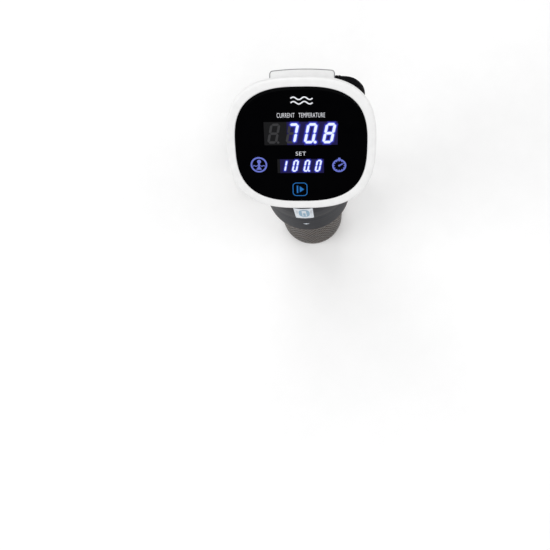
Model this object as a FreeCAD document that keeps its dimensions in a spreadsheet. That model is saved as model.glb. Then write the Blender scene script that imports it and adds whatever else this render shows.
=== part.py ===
"""Immersion circulator for sous vide cooking, as a parametric FreeCAD document.

Millimetres. +Z is up, the origin is the centre of the foot that the part stands
on, -Y is the side of the user and the pot, +Y is the side of the pot wall and
the cord, and the axis of the stem is the Z axis.
"""
import FreeCAD, Part
import math
import os

import Sketcher
from FreeCAD import Placement, Rotation, Vector

os.makedirs("parts", exist_ok=True)
doc = FreeCAD.newDocument("immersion_circulator")

# ------------------------------------------------------------------ the sheet
# Driving sizes: alias, value in millimetres (or degrees), what it is.
DRIVING = [
    ("face_width", 108.0, "bezel, side to side"),
    ("face_length", 100.8, "bezel, front to back along its slope"),
    ("face_tilt", 37.0, "slope of the face, degrees"),
    ("face_level", 331.0, "height of the middle of the face"),
    ("face_forward", 2.0, "how far the face sits in front of the stem's axis"),
    ("squareness", 2.77, "exponent of the superellipse that outlines the face"),
    ("bezel_thick", 5.5, "thickness of the bezel"),
    ("bezel_rim", 6.4, "visible width of the bezel round the glass"),
    ("ledge", 2.4, "ledge that the glass lies on"),
    ("glass_thick", 2.0, "thickness of the glass"),
    ("gasket_thick", 1.0, "thickness of the face and flange gaskets"),
    ("shell_wall", 2.4, "wall of the head shells"),
    ("shell_inset", 0.9, "how far the shell's rim lies inside the bezel's edge"),
    ("shell_split", 8.0, "where the front and rear shells meet"),
    ("split_gap", 0.2, "gap between the two shells"),
    ("collar_radius", 39.5, "outside of the dark collar under the head"),
    ("collar_wall", 2.4, "wall of the collar"),
    ("collar_top", 288.0, "where the collar meets the head"),
    ("collar_bottom", 234.0, "lower edge of the collar"),
    ("neck_top_radius", 39.3, "lower neck, outside at its top"),
    ("neck_radius", 38.8, "lower neck, outside at its bottom"),
    ("neck_bottom", 160.0, "lower edge of the lower neck"),
    ("neck_bore", 31.8, "dry space inside the lower neck"),
    ("flange_seat", 172.0, "height of the ledge that the heater flange seats under"),
    ("flange_thick", 2.4, "thickness of the heater flange"),
    ("skirt_radius", 33.2, "outside of the perforated skirt"),
    ("skirt_wall", 1.0, "wall of the perforated skirt"),
    ("skirt_top", 163.5, "upper edge of the perforated skirt"),
    ("cap_height", 12.0, "height of the bottom cap's outer wall"),
    ("cap_spigot", 8.0, "how far the cap reaches up into the skirt"),
    ("cap_wall", 2.0, "wall of the cap's spigot"),
    ("cap_floor", 3.0, "floor of the cap"),
    ("cap_round", 7.0, "rounding of the cap's lower edge"),
    ("hole_radius", 2.6, "perforation radius"),
    ("hole_columns", 20, "perforations round the skirt"),
    ("hole_rows", 8, "rows of perforations"),
    ("clearance", 0.3, "gap between pieces that move past each other"),
    ("fit_gap", 0.1, "gap between pieces that are pushed together"),
    ("running_fit", 0.06, "radial gap of a shaft or pin in its bearing"),
    ("shaft_radius", 2.5, "pump shaft"),
    ("motor_radius", 18.5, "motor case"),
    ("motor_length", 38.0, "length of the motor case"),
    ("bracket_thick", 3.0, "motor bracket plate"),
    ("boss_height", 12.5, "bosses under the motor bracket"),
    ("post_circle", 25.0, "circle of the pump posts and the motor bosses"),
    ("post_radius", 2.0, "pump posts and motor screws"),
    ("bearing_level", 34.0, "underside of the lower bearing plate"),
    ("impeller_radius", 24.0, "tip of the impeller"),
    ("heater_circle", 22.0, "circle of the heater's legs"),
    ("heater_radius", 3.25, "heater tube"),
    ("heater_low", 58.0, "where the heater's lower bends start"),
    ("heater_high", 140.0, "where the heater's upper bends start"),
    ("board_thick", 1.6, "circuit boards"),
    ("clamp_width", 28.0, "width of the clamp bracket"),
    ("lever_width", 50.0, "width of the clamp lever"),
    ("wall_gap", 5.0, "gap between the clamp's pads at rest"),
    ("pad_thick", 2.2, "rubber pads"),
    ("pivot_y", 62.7, "clamp pivot, distance behind the axis"),
    ("pivot_level", 190.0, "clamp pivot, height"),
    ("pin_radius", 2.5, "clamp pin"),
    ("pod_width", 49.0, "cord housing behind the head, side to side"),
    ("pod_rear", 59.6, "rear face of the cord housing"),
    ("pod_top", 322.0, "top of the cord housing"),
    ("pod_height", 30.0, "height of the cord housing"),
    ("pod_wall", 1.8, "wall of the cord housing"),
    ("cord_radius", 3.3, "mains cord"),
    ("relief_radius", 4.4, "strain relief, at its thick end"),
    ("coil_radius", 36.5, "middle of the coil's turns"),
    ("coil_height", 13.4, "coil, two turns high"),
    ("coil_width", 20.0, "coil, three turns wide"),
    ("plug_radius", 18.5, "plug body"),
    ("plug_length", 38.0, "plug body"),
    ("label_width", 15.0, "label on the collar"),
    ("label_height", 46.0, "label on the collar"),
]

sheet = doc.addObject("Spreadsheet::Sheet", "Sizes")
for row, (alias, value, meaning) in enumerate(DRIVING, start=1):
    sheet.set("A%d" % row, alias)
    sheet.set("B%d" % row, str(value))
    sheet.set("C%d" % row, meaning)
    sheet.setAlias("B%d" % row, alias)
doc.recompute()


class Size:
    """A length that knows its number and the sheet formula it comes from."""

    def __init__(self, number, formula):
        self.number = float(number)
        self.formula = formula

    def __float__(self):
        return self.number

    def combined(self, other, sign, number):
        formula = other.formula if isinstance(other, Size) else repr(float(other))
        return Size(number, "(%s %s %s)" % (self.formula, sign, formula))

    def __add__(self, other):
        return self.combined(other, "+", self.number + float(other))

    def __sub__(self, other):
        return self.combined(other, "-", self.number - float(other))

    def __mul__(self, other):
        return self.combined(other, "*", self.number * float(other))

    def __truediv__(self, other):
        return self.combined(other, "/", self.number / float(other))

    def __neg__(self):
        return Size(-self.number, "(0 - %s)" % self.formula)


def size(alias):
    """The driving size of that name, bound to its cell."""
    return Size(sheet.get(alias), "Sizes." + alias)


def fixed(number):
    """A size that nothing else depends on."""
    return Size(number, repr(float(number)))


# -------------------------------------------------------------------- helpers
PARTS = []          # the sub-parts, in the order they are made
X, Y, Z = Vector(1, 0, 0), Vector(0, 1, 0), Vector(0, 0, 1)


def keep(piece, label):
    """Register a finished sub-part under its own label."""
    piece.Label = label
    PARTS.append(piece)
    return piece


def bind(piece, **sizes):
    """Set properties of a piece and tie them to the sheet."""
    for name, value in sizes.items():
        piece.setExpression(name, value.formula)


def sketch_on(body, role, name, level=None):
    """A sketch on one of the body's own origin planes, raised by level."""
    plane = next(p for p in body.Origin.OriginFeatures if p.Role == role)
    sketch = body.newObject("Sketcher::SketchObject", name)
    sketch.AttachmentSupport = [(plane, "")]
    sketch.MapMode = "FlatFace"
    if level is not None:
        sketch.setExpression("AttachmentOffset.Base.z", level.formula)
    return sketch


def pin_point(sketch, edge, end, x, y):
    """Hold one point of a sketch at x, y from the origin, by sheet formulas."""
    for kind, axis, value in (("DistanceX", -2, x), ("DistanceY", -1, y)):
        if value.number == 0:
            sketch.addConstraint(Sketcher.Constraint("PointOnObject", edge, end, axis))
            continue
        way = (-1, 1, edge, end) if value.number > 0 else (edge, end, -1, 1)
        length = value if value.number > 0 else -value
        index = sketch.addConstraint(Sketcher.Constraint(kind, *way, length.number))
        sketch.setExpression("Constraints[%d]" % index, length.formula)


def draw_outline(sketch, corners):
    """A closed outline of straight edges through sheet-bound corners."""
    count = len(corners)
    for here, there in zip(corners, corners[1:] + corners[:1]):
        start = Vector(float(here[0]), float(here[1]), 0)
        end = Vector(float(there[0]), float(there[1]), 0)
        sketch.addGeometry(Part.LineSegment(start, end), False)
    for edge in range(count):
        sketch.addConstraint(Sketcher.Constraint("Coincident", edge, 2, (edge + 1) % count, 1))
    for edge, (x, y) in enumerate(corners):
        pin_point(sketch, edge, 1, x, y)


def draw_circle(sketch, x, y, radius):
    """A circle whose centre and radius are bound to the sheet."""
    circle = Part.Circle(Vector(float(x), float(y), 0), Z, float(radius))
    edge = sketch.addGeometry(circle, False)
    index = sketch.addConstraint(Sketcher.Constraint("Radius", edge, float(radius)))
    sketch.setExpression("Constraints[%d]" % index, radius.formula)
    pin_point(sketch, edge, 3, x, y)


def turned(label, outline):
    """A body turned about the Z axis from corners (radius, height)."""
    body = doc.addObject("PartDesign::Body", label)
    sketch = sketch_on(body, "XZ_Plane", label + "_outline")
    draw_outline(sketch, outline)
    turn = body.newObject("PartDesign::Revolution", label + "_turn")
    turn.Profile = sketch
    turn.ReferenceAxis = (sketch, ["V_Axis"])
    turn.Angle = 360
    doc.recompute()
    return keep(body, label)


def ring(label, inner, outer, bottom, top):
    """A plain turned ring."""
    return turned(label, [(inner, bottom), (outer, bottom), (outer, top), (inner, top)])


def disc(label, radius, bottom, top):
    """A plain turned disc."""
    zero = fixed(0)
    return turned(label, [(zero, bottom), (radius, bottom), (radius, top), (zero, top)])


def padded(label, role, outline, depth, level=None, symmetric=False):
    """A body padded from a straight-edged outline."""
    body = doc.addObject("PartDesign::Body", label)
    sketch = sketch_on(body, role, label + "_outline", level)
    draw_outline(sketch, outline)
    pad = body.newObject("PartDesign::Pad", label + "_pad")
    pad.Profile = sketch
    pad.SideType = "Symmetric" if symmetric else "One side"
    bind(pad, Length=depth)
    doc.recompute()
    return keep(body, label)


def cut_through(body, name, role, draw, level=None):
    """Cut what draw() draws through the whole body, both ways."""
    before = body.Shape.Volume
    sketch = sketch_on(body, role, name + "_outline", level)
    draw(sketch)
    pocket = body.newObject("PartDesign::Pocket", name)
    pocket.Profile = sketch
    pocket.SideType = "Symmetric"
    pocket.Type = "Length"
    pocket.Length = 1000
    doc.recompute()
    if not body.Shape.Volume < before - 1e-6:
        raise RuntimeError("%s cuts nothing" % name)
    return pocket


def repeated(body, feature, count):
    """Repeat a feature round the Z axis."""
    pattern = body.newObject("PartDesign::PolarPattern", feature.Name + "_round")
    pattern.Originals = [feature]
    axis = next(p for p in body.Origin.OriginFeatures if p.Role == "Z_Axis")
    pattern.Axis = (axis, [""])
    pattern.Angle = 360
    pattern.Occurrences = count
    body.Tip = pattern
    doc.recompute()
    return pattern


def rounded(body, name, radius, wanted):
    """Fillet the edges of a body that wanted(edge) picks."""
    base = body.Tip
    names = ["Edge%d" % (i + 1) for i, edge in enumerate(base.Shape.Edges) if wanted(edge)]
    fillet = body.newObject("PartDesign::Fillet", name)
    fillet.Base = (base, names)
    bind(fillet, Radius=radius)
    doc.recompute()
    return fillet


def box(name, length, width, height, corner, turn=None):
    """A box with sheet-bound sides, its low corner at corner."""
    piece = doc.addObject("Part::Box", name)
    bind(piece, Length=length, Width=width, Height=height)
    piece.Placement = Placement(Vector(*(float(c) for c in corner)), turn or Rotation())
    return piece


def rod(name, radius, length, start, direction=Z):
    """A round rod with a sheet-bound radius and length."""
    piece = doc.addObject("Part::Cylinder", name)
    bind(piece, Radius=radius, Height=length)
    piece.Placement = Placement(Vector(*(float(c) for c in start)), Rotation(Z, direction))
    return piece


def group(label, pieces):
    """Separate solids that share one node."""
    compound = doc.addObject("Part::Compound", label)
    compound.Links = pieces
    doc.recompute()
    return keep(compound, label)


def fused(name, pieces):
    """Several primitives as one solid."""
    union = doc.addObject("Part::MultiFuse", name)
    union.Shapes = pieces
    union.Refine = True
    doc.recompute()
    return union


def carved(name, base, tool):
    """One shape with another taken away."""
    cut = doc.addObject("Part::Cut", name)
    cut.Base = base
    cut.Tool = tool
    doc.recompute()
    return cut


def shaped(label, shape, placement=None):
    """A sub-part whose shape comes from Part's own functions."""
    piece = doc.addObject("Part::Feature", label)
    piece.Shape = shape
    if placement is not None:
        piece.Placement = placement
    return keep(piece, label)


def on_circle(radius, angle):
    """Point on a circle about the Z axis, angle in degrees from +X."""
    turn = math.radians(angle)
    return float(radius) * math.cos(turn), float(radius) * math.sin(turn)


# ------------------------------------------------------- sizes used by many
clearance = size("clearance")
fit_gap = size("fit_gap")
running_fit = size("running_fit")
shaft_radius = size("shaft_radius")
skirt_radius = size("skirt_radius")
skirt_bore = skirt_radius - size("skirt_wall")
collar_bore = size("collar_radius") - size("collar_wall")
neck_recess = skirt_radius + clearance
flange_top = size("flange_seat") - size("gasket_thick")
flange_bottom = flange_top - size("flange_thick")
boss_top = size("flange_seat") + size("boss_height")
bracket_top = boss_top + size("bracket_thick")
motor_bottom = bracket_top + fit_gap
motor_top = motor_bottom + size("motor_length")
cap_top = size("cap_height")

# Frame of the sloping face: X across, Y up the slope, Z out of the glass.
FACE = Placement(
    Vector(0, -float(size("face_forward")), float(size("face_level"))),
    Rotation(X, float(size("face_tilt"))),
)


# ----------------------------------------------------------- outline of a face
def squircle(half_width, half_length, level):
    """Closed superellipse at a level of the face frame, as one smooth curve."""
    power = 2.0 / float(size("squareness"))
    points = []
    for step in range(48):
        turn = 2 * math.pi * (step + 0.5) / 48
        across = math.copysign(abs(math.cos(turn)) ** power, math.cos(turn))
        along = math.copysign(abs(math.sin(turn)) ** power, math.sin(turn))
        points.append(Vector(half_width * across, half_length * along, level))
    curve = Part.BSplineCurve()
    curve.interpolate(Points=points, PeriodicFlag=True)
    return Part.Wire(curve.toShape())


def slab(inset, bottom, top):
    """Solid under the face's outline, inset from it, between two levels."""
    half_width = float(size("face_width")) / 2 - inset
    half_length = float(size("face_length")) / 2 - inset
    outline = squircle(half_width, half_length, bottom)
    return Part.Face(outline).extrude(Vector(0, 0, top - bottom))


# ------------------------------------------------------------ face and display
def make_face():
    """Bezel, glass and the gasket under the bezel."""
    thick = float(size("bezel_thick"))
    rim = float(size("bezel_rim"))
    glass = float(size("glass_thick"))
    gap = float(fit_gap)
    pocket = glass + gap
    bezel = slab(0, -thick, 0)
    bezel = bezel.cut(slab(rim, -pocket, 1))
    bezel = bezel.cut(slab(rim + float(size("ledge")), -thick - 1, 1))
    for across, along in BOARD_BOSSES:
        boss = Part.makeCylinder(3.0, board_drop, Vector(across, along, -thick - board_drop))
        bezel = bezel.fuse(boss)
    for across, along in BOARD_BOSSES:
        start = Vector(across, along, -thick - board_drop - 1)
        bezel = bezel.cut(Part.makeCylinder(board_screw + gap / 2, board_drop + 3.5, start))
    shaped("bezel", bezel.removeSplitter(), FACE)
    shaped("face_glass", slab(rim + gap, -pocket + gap / 2, -gap / 2), FACE)
    inset = float(size("shell_inset"))
    seal = slab(inset, -thick - float(size("gasket_thick")), -thick)
    seal = seal.cut(slab(inset + float(size("shell_wall")), -thick - 2, 0))
    shaped("face_gasket", seal, FACE)


board_drop = 2.5                      # bosses hold the display board this far under the bezel
board_screw = 1.2
BOARD_BOSSES = [(-37.0, -32.0), (37.0, -32.0), (-37.0, 26.0), (37.0, 26.0)]
board_top = -float(size("bezel_thick")) - board_drop
display_height = -board_top - float(size("glass_thick")) - 2 * float(fit_gap)


def make_display():
    """Board under the glass with its displays, lamps, buzzer and screws."""
    board_width, board_length, corner = 84.0, 76.0, 20.0
    thick = float(size("board_thick"))
    board = Part.makeBox(board_width, board_length, thick,
                         Vector(-board_width / 2, -board_length / 2 - 3, board_top - thick))
    uprights = [e for e in board.Edges if abs(e.tangentAt(e.FirstParameter).z) > 0.9]
    board = board.makeFillet(corner, uprights)
    for across, along in BOARD_BOSSES:
        hole = Part.makeCylinder(board_screw + 0.1, 4, Vector(across, along, board_top - 3))
        board = board.cut(hole)
    shaped("display_board", board, FACE)
    for label, across, along, width, length in (
            ("temperature_display", 0.0, 10.0, 53.0, 17.5),
            ("set_display", -0.3, -15.3, 34.5, 11.2)):
        low = Vector(across - width / 2, along - length / 2, board_top)
        shaped(label, Part.makeBox(width, length, display_height, low), FACE)
    lamps = [Part.makeCylinder(radius, display_height, Vector(across, along, board_top))
             for across, along, radius in ((-31.0, -14.2, 6.6), (27.7, -15.2, 6.0), (-1.2, -34.2, 6.2))]
    shaped("icon_lamps", Part.makeCompound(lamps), FACE)
    under = board_top - thick
    shaped("buzzer", Part.makeCylinder(6.0, 5.0, Vector(-20, 14, under - 5.0)), FACE)
    screws = []
    for across, along in BOARD_BOSSES:
        shank = Part.makeCylinder(board_screw, thick + 4.5, Vector(across, along, under))
        head = Part.makeCylinder(2.4, 1.8, Vector(across, along, under - 1.8))
        screws.append(shank.fuse(head).removeSplitter())
    shaped("board_screws", Part.makeCompound(screws), FACE)


# ------------------------------------------------------------------ the head
def circle_wire(radius, level):
    """Horizontal circle started and spaced like the squircle, for lofting."""
    points = []
    for step in range(48):
        turn = 2 * math.pi * (step + 0.5) / 48
        points.append(Vector(radius * math.cos(turn), radius * math.sin(turn), level))
    curve = Part.BSplineCurve()
    curve.interpolate(Points=points, PeriodicFlag=True)
    return Part.Wire(curve.toShape())


def head_loft(inset, lift, drop):
    """Solid from the sloping rim down to the round collar, inset all round."""
    rim_inset = float(size("shell_inset")) + inset
    rim = squircle(float(size("face_width")) / 2 - rim_inset,
                   float(size("face_length")) / 2 - rim_inset,
                   -float(size("bezel_thick")) - float(size("gasket_thick")) + lift)
    rim.Placement = FACE
    foot = circle_wire(float(size("collar_radius")) - inset, float(size("collar_top")) - drop)
    return Part.makeLoft([foot, rim], True, True)


def pod_solid(grow):
    """Cord housing behind the head, made larger or smaller by grow."""
    width = float(size("pod_width")) + 2 * grow
    rear = float(size("pod_rear")) + grow
    bottom = float(size("pod_top")) - float(size("pod_height")) - grow
    height = float(size("pod_height")) + 2 * grow
    start = 20.0
    block = Part.makeBox(width, rear - start, height, Vector(-width / 2, start, bottom))
    bow = float(size("pod_width")) * 4.6       # radius of the bowed rear face
    bowed = Part.makeCylinder(bow, height, Vector(0, rear - bow, bottom))
    block = block.common(bowed)
    corners = [e for e in block.Edges
               if abs(e.tangentAt(e.FirstParameter).z) > 0.9 and e.CenterOfMass.y > start + 5]
    return block.makeFillet(3.0 + grow, corners)


def make_head():
    """Front and rear shells, with the cord housing on the rear one."""
    wall = float(size("shell_wall"))
    inner = head_loft(wall, 1.0, 1.0)
    shell = head_loft(0, 0, 0).fuse(pod_solid(0)).removeSplitter()
    shell = shell.cut(inner).cut(pod_solid(-float(size("pod_wall"))))
    cord_hole = float(size("relief_radius")) - 0.3
    shell = shell.cut(Part.makeCylinder(cord_hole, 30, Vector(0, CORD[0].y, CORD[0].z), X))
    split = float(size("shell_split"))
    half_gap = float(size("split_gap")) / 2
    front = Part.makeBox(200, 200, 200, Vector(-100, split - half_gap - 200, 240))
    rear = Part.makeBox(200, 200, 200, Vector(-100, split + half_gap, 240))
    front_shell = shell.common(front)
    rear_shell = shell.common(rear)
    shaped("head_front_shell", front_shell)
    shaped("head_rear_shell", rear_shell)


# ------------------------------------------------------------- collar and neck
def make_collar():
    """Dark collar under the head, the lower neck and their seal."""
    outer = size("collar_radius")
    bottom = size("collar_bottom")
    top = size("collar_top")
    spigot = outer - size("shell_wall") - fixed(0.9)
    turned("collar", [
        (collar_bore, bottom), (outer, bottom), (outer, top), (spigot, top),
        (spigot, top + fixed(5)), (collar_bore - fixed(2), top + fixed(5)),
        (collar_bore - fixed(2), top - fixed(3)), (collar_bore, top - fixed(5))])
    ring("collar_seal", collar_bore, outer - fixed(0.8),
         bottom - fixed(0.95), bottom - fixed(0.05))

    seat = size("flange_seat")
    shoulder = bottom - fixed(1.0)
    spigot_top = bottom + fixed(8)
    space = size("neck_top_radius") - fixed(3.6)
    body = turned("lower_neck", [
        (neck_recess, size("neck_bottom")), (size("neck_radius"), size("neck_bottom")),
        (size("neck_top_radius"), shoulder),
        (collar_bore - fixed(0.2), shoulder), (collar_bore - fixed(0.2), spigot_top),
        (space, spigot_top), (space, bracket_top + fixed(5)),
        (size("neck_bore"), bracket_top + fixed(2)), (size("neck_bore"), seat),
        (neck_recess, seat)])
    # three radial bosses carry the motor bracket above and the pump posts below
    sketch = sketch_on(body, "XY_Plane", "boss_outline", seat)
    inner = size("post_circle") - fixed(4)
    outer_end = size("neck_bore") + fixed(1)
    draw_outline(sketch, [(inner, fixed(-4)), (outer_end, fixed(-4)),
                          (outer_end, fixed(4)), (inner, fixed(4))])
    boss = body.newObject("PartDesign::Pad", "boss")
    boss.Profile = sketch
    bind(boss, Length=size("boss_height"))
    doc.recompute()
    repeated(body, boss, 3)
    hole_sketch = sketch_on(body, "XY_Plane", "boss_hole_outline", seat - fixed(1))
    draw_circle(hole_sketch, size("post_circle"), fixed(0), size("post_radius") + fixed(0.05))
    hole = body.newObject("PartDesign::Pocket", "boss_hole")
    hole.Profile = hole_sketch
    hole.Reversed = True
    bind(hole, Length=size("boss_height") + fixed(2))
    doc.recompute()
    repeated(body, hole, 3)
    # two holes at the back take the clamp's screws
    before = body.Shape.Volume
    sketch = sketch_on(body, "XZ_Plane", "clamp_hole_outline")
    for level in SCREW_LEVELS:
        draw_circle(sketch, fixed(0), level, fixed(1.55))
    pocket = body.newObject("PartDesign::Pocket", "clamp_hole")
    pocket.Profile = sketch
    pocket.Reversed = False
    pocket.Length = 60
    doc.recompute()
    if not body.Shape.Volume < before:
        raise RuntimeError("the clamp's screw holes cut nothing")


SCREW_LEVELS = [size("collar_bottom") - fixed(9), size("collar_bottom") - fixed(21)]


def make_label():
    """Thin printed label that wraps the front of the collar."""
    outer = float(size("collar_radius"))
    width, height = float(size("label_width")), float(size("label_height"))
    bottom = float(size("collar_bottom")) + 3.5
    sleeve = Part.makeCylinder(outer + 0.25, height, Vector(0, 0, bottom))
    sleeve = sleeve.cut(Part.makeCylinder(outer + 0.05, height, Vector(0, 0, bottom)))
    window = Part.makeBox(width, 20, height, Vector(-width / 2, -outer - 5, bottom))
    shaped("collar_label", sleeve.common(window))


# ---------------------------------------------------------- motor and pump
def make_motor():
    """Motor, its bracket and screws, and the turning parts."""
    outer = size("motor_radius")
    cap = fixed(3)
    bearing_radius = fixed(6.5)
    seat_bore = bearing_radius + fixed(0.02)
    bore = outer - fixed(1.5)
    turned("motor_case", [
        (seat_bore, motor_bottom), (outer, motor_bottom), (outer, motor_top),
        (seat_bore, motor_top), (seat_bore, motor_top - cap), (bore, motor_top - cap),
        (bore, motor_bottom + cap), (seat_bore, motor_bottom + cap)])
    ring("motor_magnets", bore - fixed(3.6), bore - fixed(0.05),
         motor_bottom + fixed(7), motor_top - fixed(7))
    bearings = []
    for name, level in (("lower_bearing", motor_bottom), ("upper_bearing", motor_top - cap)):
        race = rod(name + "_race", bearing_radius, cap, (0, 0, level))
        bore_tool = rod(name + "_bore", shaft_radius + running_fit, cap, (0, 0, level))
        bearings.append(carved(name, race, bore_tool))
    group("motor_bearings", bearings)

    plate = ring("motor_bracket", fixed(7.5), size("neck_bore") - clearance, boss_top, bracket_top)
    def screw_hole(sketch):
        draw_circle(sketch, size("post_circle"), fixed(0), size("post_radius") + fixed(0.1))
    hole = cut_through(plate, "bracket_hole", "XY_Plane", screw_hole)
    repeated(plate, hole, 3)
    screws = []
    for number, angle in enumerate((0, 120, 240), start=1):
        x, y = on_circle(size("post_circle"), angle)
        length = size("bracket_thick") + fixed(5)
        shank = rod("motor_shank_%d" % number, size("post_radius"), length,
                    (x, y, bracket_top - length))
        head = rod("motor_head_%d" % number, size("post_radius") + fixed(1.4), fixed(2.4),
                   (x, y, bracket_top))
        screws.append(fused("motor_screw_%d" % number, [shank, head]))
    group("motor_screws", screws)

    # the rotor: core and its own shaft, then coupling, pump shaft and impeller
    core_radius = bore - fixed(4.1)
    joint = flange_top + fixed(8.0)
    turned("motor_rotor", [
        (fixed(0), joint), (shaft_radius, joint), (shaft_radius, motor_bottom + fixed(8)),
        (core_radius, motor_bottom + fixed(8)), (core_radius, motor_top - fixed(8)),
        (shaft_radius, motor_top - fixed(8)), (shaft_radius, motor_top + fixed(3)),
        (fixed(0), motor_top + fixed(3))])
    ring("shaft_coupling", shaft_radius + fixed(0.02), fixed(5.5),
         joint - fixed(5.6), joint + fixed(5.6))
    disc("pump_shaft", shaft_radius, fixed(8), joint - fixed(0.1))


def make_pump():
    """Impeller, lower bearing plate, bush, shaft seal and posts."""
    tip = size("impeller_radius")
    low, high = cap_top - fixed(2), cap_top + fixed(11)
    hub = rod("impeller_hub", fixed(6), high - low + fixed(2), (0, 0, low - fixed(1)))
    web = rod("impeller_web", tip, fixed(2), (0, 0, high - fixed(2)))
    blades = []
    for number in range(7):
        blade = doc.addObject("Part::Box", "impeller_blade_%d" % number)
        bind(blade, Length=tip - fixed(5), Width=fixed(1.8), Height=high - low - fixed(1))
        turn = Rotation(Z, number * 360.0 / 7)
        swept = Rotation(Z, number * 360.0 / 7 - 24)
        blade.Placement = Placement(turn.multVec(Vector(4.6, 0.9, float(low))), swept)
        blades.append(blade)
    wheel = fused("impeller_wheel", [hub, web] + blades)
    bore = rod("impeller_bore", shaft_radius + fixed(0.02), fixed(40), (0, 0, 0))
    keep(carved("impeller_cut", wheel, bore), "impeller")

    level = size("bearing_level")
    plate = ring("bearing_plate", fixed(5.05), size("post_circle") + fixed(3.5),
                 level, level + fixed(2.5))
    def post_hole(sketch):
        draw_circle(sketch, size("post_circle"), fixed(0), size("post_radius") + fixed(0.05))
    hole = cut_through(plate, "plate_post_hole", "XY_Plane", post_hole)
    repeated(plate, hole, 3)
    def window(sketch):
        x, y = on_circle(15, 60)
        draw_circle(sketch, fixed(x), fixed(y), fixed(5.5))
    opening = cut_through(plate, "plate_window", "XY_Plane", window)
    repeated(plate, opening, 3)
    turned("shaft_bush", [
        (shaft_radius + running_fit, level - fixed(1.5)), (fixed(7), level - fixed(1.5)),
        (fixed(7), level), (fixed(5), level), (fixed(5), level + fixed(6)),
        (shaft_radius + running_fit, level + fixed(6))])
    turned("shaft_seal", [
        (shaft_radius + running_fit, flange_bottom - fixed(1.2)),
        (fixed(8), flange_bottom - fixed(1.2)), (fixed(8), flange_bottom),
        (fixed(6), flange_bottom), (fixed(6), flange_top + fixed(1.2)),
        (shaft_radius + running_fit, flange_top + fixed(1.2))])
    posts = []
    for number, angle in enumerate((0, 120, 240), start=1):
        x, y = on_circle(size("post_circle"), angle)
        length = size("flange_seat") + fixed(5.5) - level
        posts.append(rod("pump_post_%d" % number, size("post_radius"), length, (x, y, level)))
    group("pump_posts", posts)


# ------------------------------------------------------------------ wet side
PROBES = [("temperature", 60.0, 26.0, 2.5, 72.0), ("low_level", 173.0, 27.5, 1.5, 96.0),
          ("high_level", 187.0, 27.5, 1.5, 132.0)]
HEATER_ANGLES = [30.0, 90.0, 150.0, 210.0, 270.0, 330.0]


def make_flange():
    """Steel flange that closes the dry neck, with its gasket."""
    plate = ring("heater_flange", fixed(6.1), neck_recess - fixed(0.2), flange_bottom, flange_top)
    def holes(sketch):
        for angle in (HEATER_ANGLES[0], HEATER_ANGLES[-1]):
            x, y = on_circle(size("heater_circle"), angle)
            draw_circle(sketch, fixed(x), fixed(y), size("heater_radius") + fixed(0.05))
        for name, angle, circle, radius, tip in PROBES:
            x, y = on_circle(circle, angle)
            draw_circle(sketch, fixed(x), fixed(y), fixed(radius + 0.05))
        for angle in (0, 120, 240):
            x, y = on_circle(size("post_circle"), angle)
            draw_circle(sketch, fixed(x), fixed(y), size("post_radius") + fixed(0.05))
    cut_through(plate, "flange_holes", "XY_Plane", holes)
    ring("flange_gasket", size("neck_bore") + fixed(0.1), neck_recess - fixed(0.2),
         flange_top, size("flange_seat"))
    ring("lock_ring", skirt_bore - fixed(2.9), neck_recess - size("fit_gap") * 2,
         size("skirt_top") + clearance, flange_bottom - clearance * 2)


def make_heater():
    """One steel tube in six legs round the shaft, joined by U bends."""
    circle = float(size("heater_circle"))
    low, high = float(size("heater_low")), float(size("heater_high"))
    top = float(flange_top) + 9
    legs = [Vector(*on_circle(circle, angle), 0) for angle in HEATER_ANGLES]
    edges = []
    for index, foot in enumerate(legs):
        first, last = index == 0, index == len(legs) - 1
        upper = top if first or last else high
        ends = [foot + Vector(0, 0, upper), foot + Vector(0, 0, low)]
        if index % 2:
            ends.reverse()
        edges.append(Part.LineSegment(*ends).toShape())
        if last:
            break
        after = legs[index + 1]
        middle = (foot + after) * 0.5
        bend = (after - foot).Length / 2
        level = low if index % 2 == 0 else high
        crown = level - bend if index % 2 == 0 else level + bend
        arc = Part.Arc(foot + Vector(0, 0, level), middle + Vector(0, 0, crown),
                       after + Vector(0, 0, level))
        edges.append(arc.toShape())
    path = Part.Wire(edges)
    section = Part.Wire(Part.Circle(legs[0] + Vector(0, 0, top), Z,
                                    float(size("heater_radius"))).toShape())
    tube = path.makePipeShell([section], True, True)
    shaped("heater_element", tube)


def make_probes():
    """Temperature probe and the two water level rods."""
    rods = {}
    for name, angle, circle, radius, tip in PROBES:
        x, y = on_circle(circle, angle)
        length = flange_top + fixed(6) - fixed(tip)
        rods[name] = rod(name + "_rod", fixed(radius), length, (x, y, tip))
    group("temperature_probe", [rods["temperature"]])
    group("level_probes", [rods["low_level"], rods["high_level"]])


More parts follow.
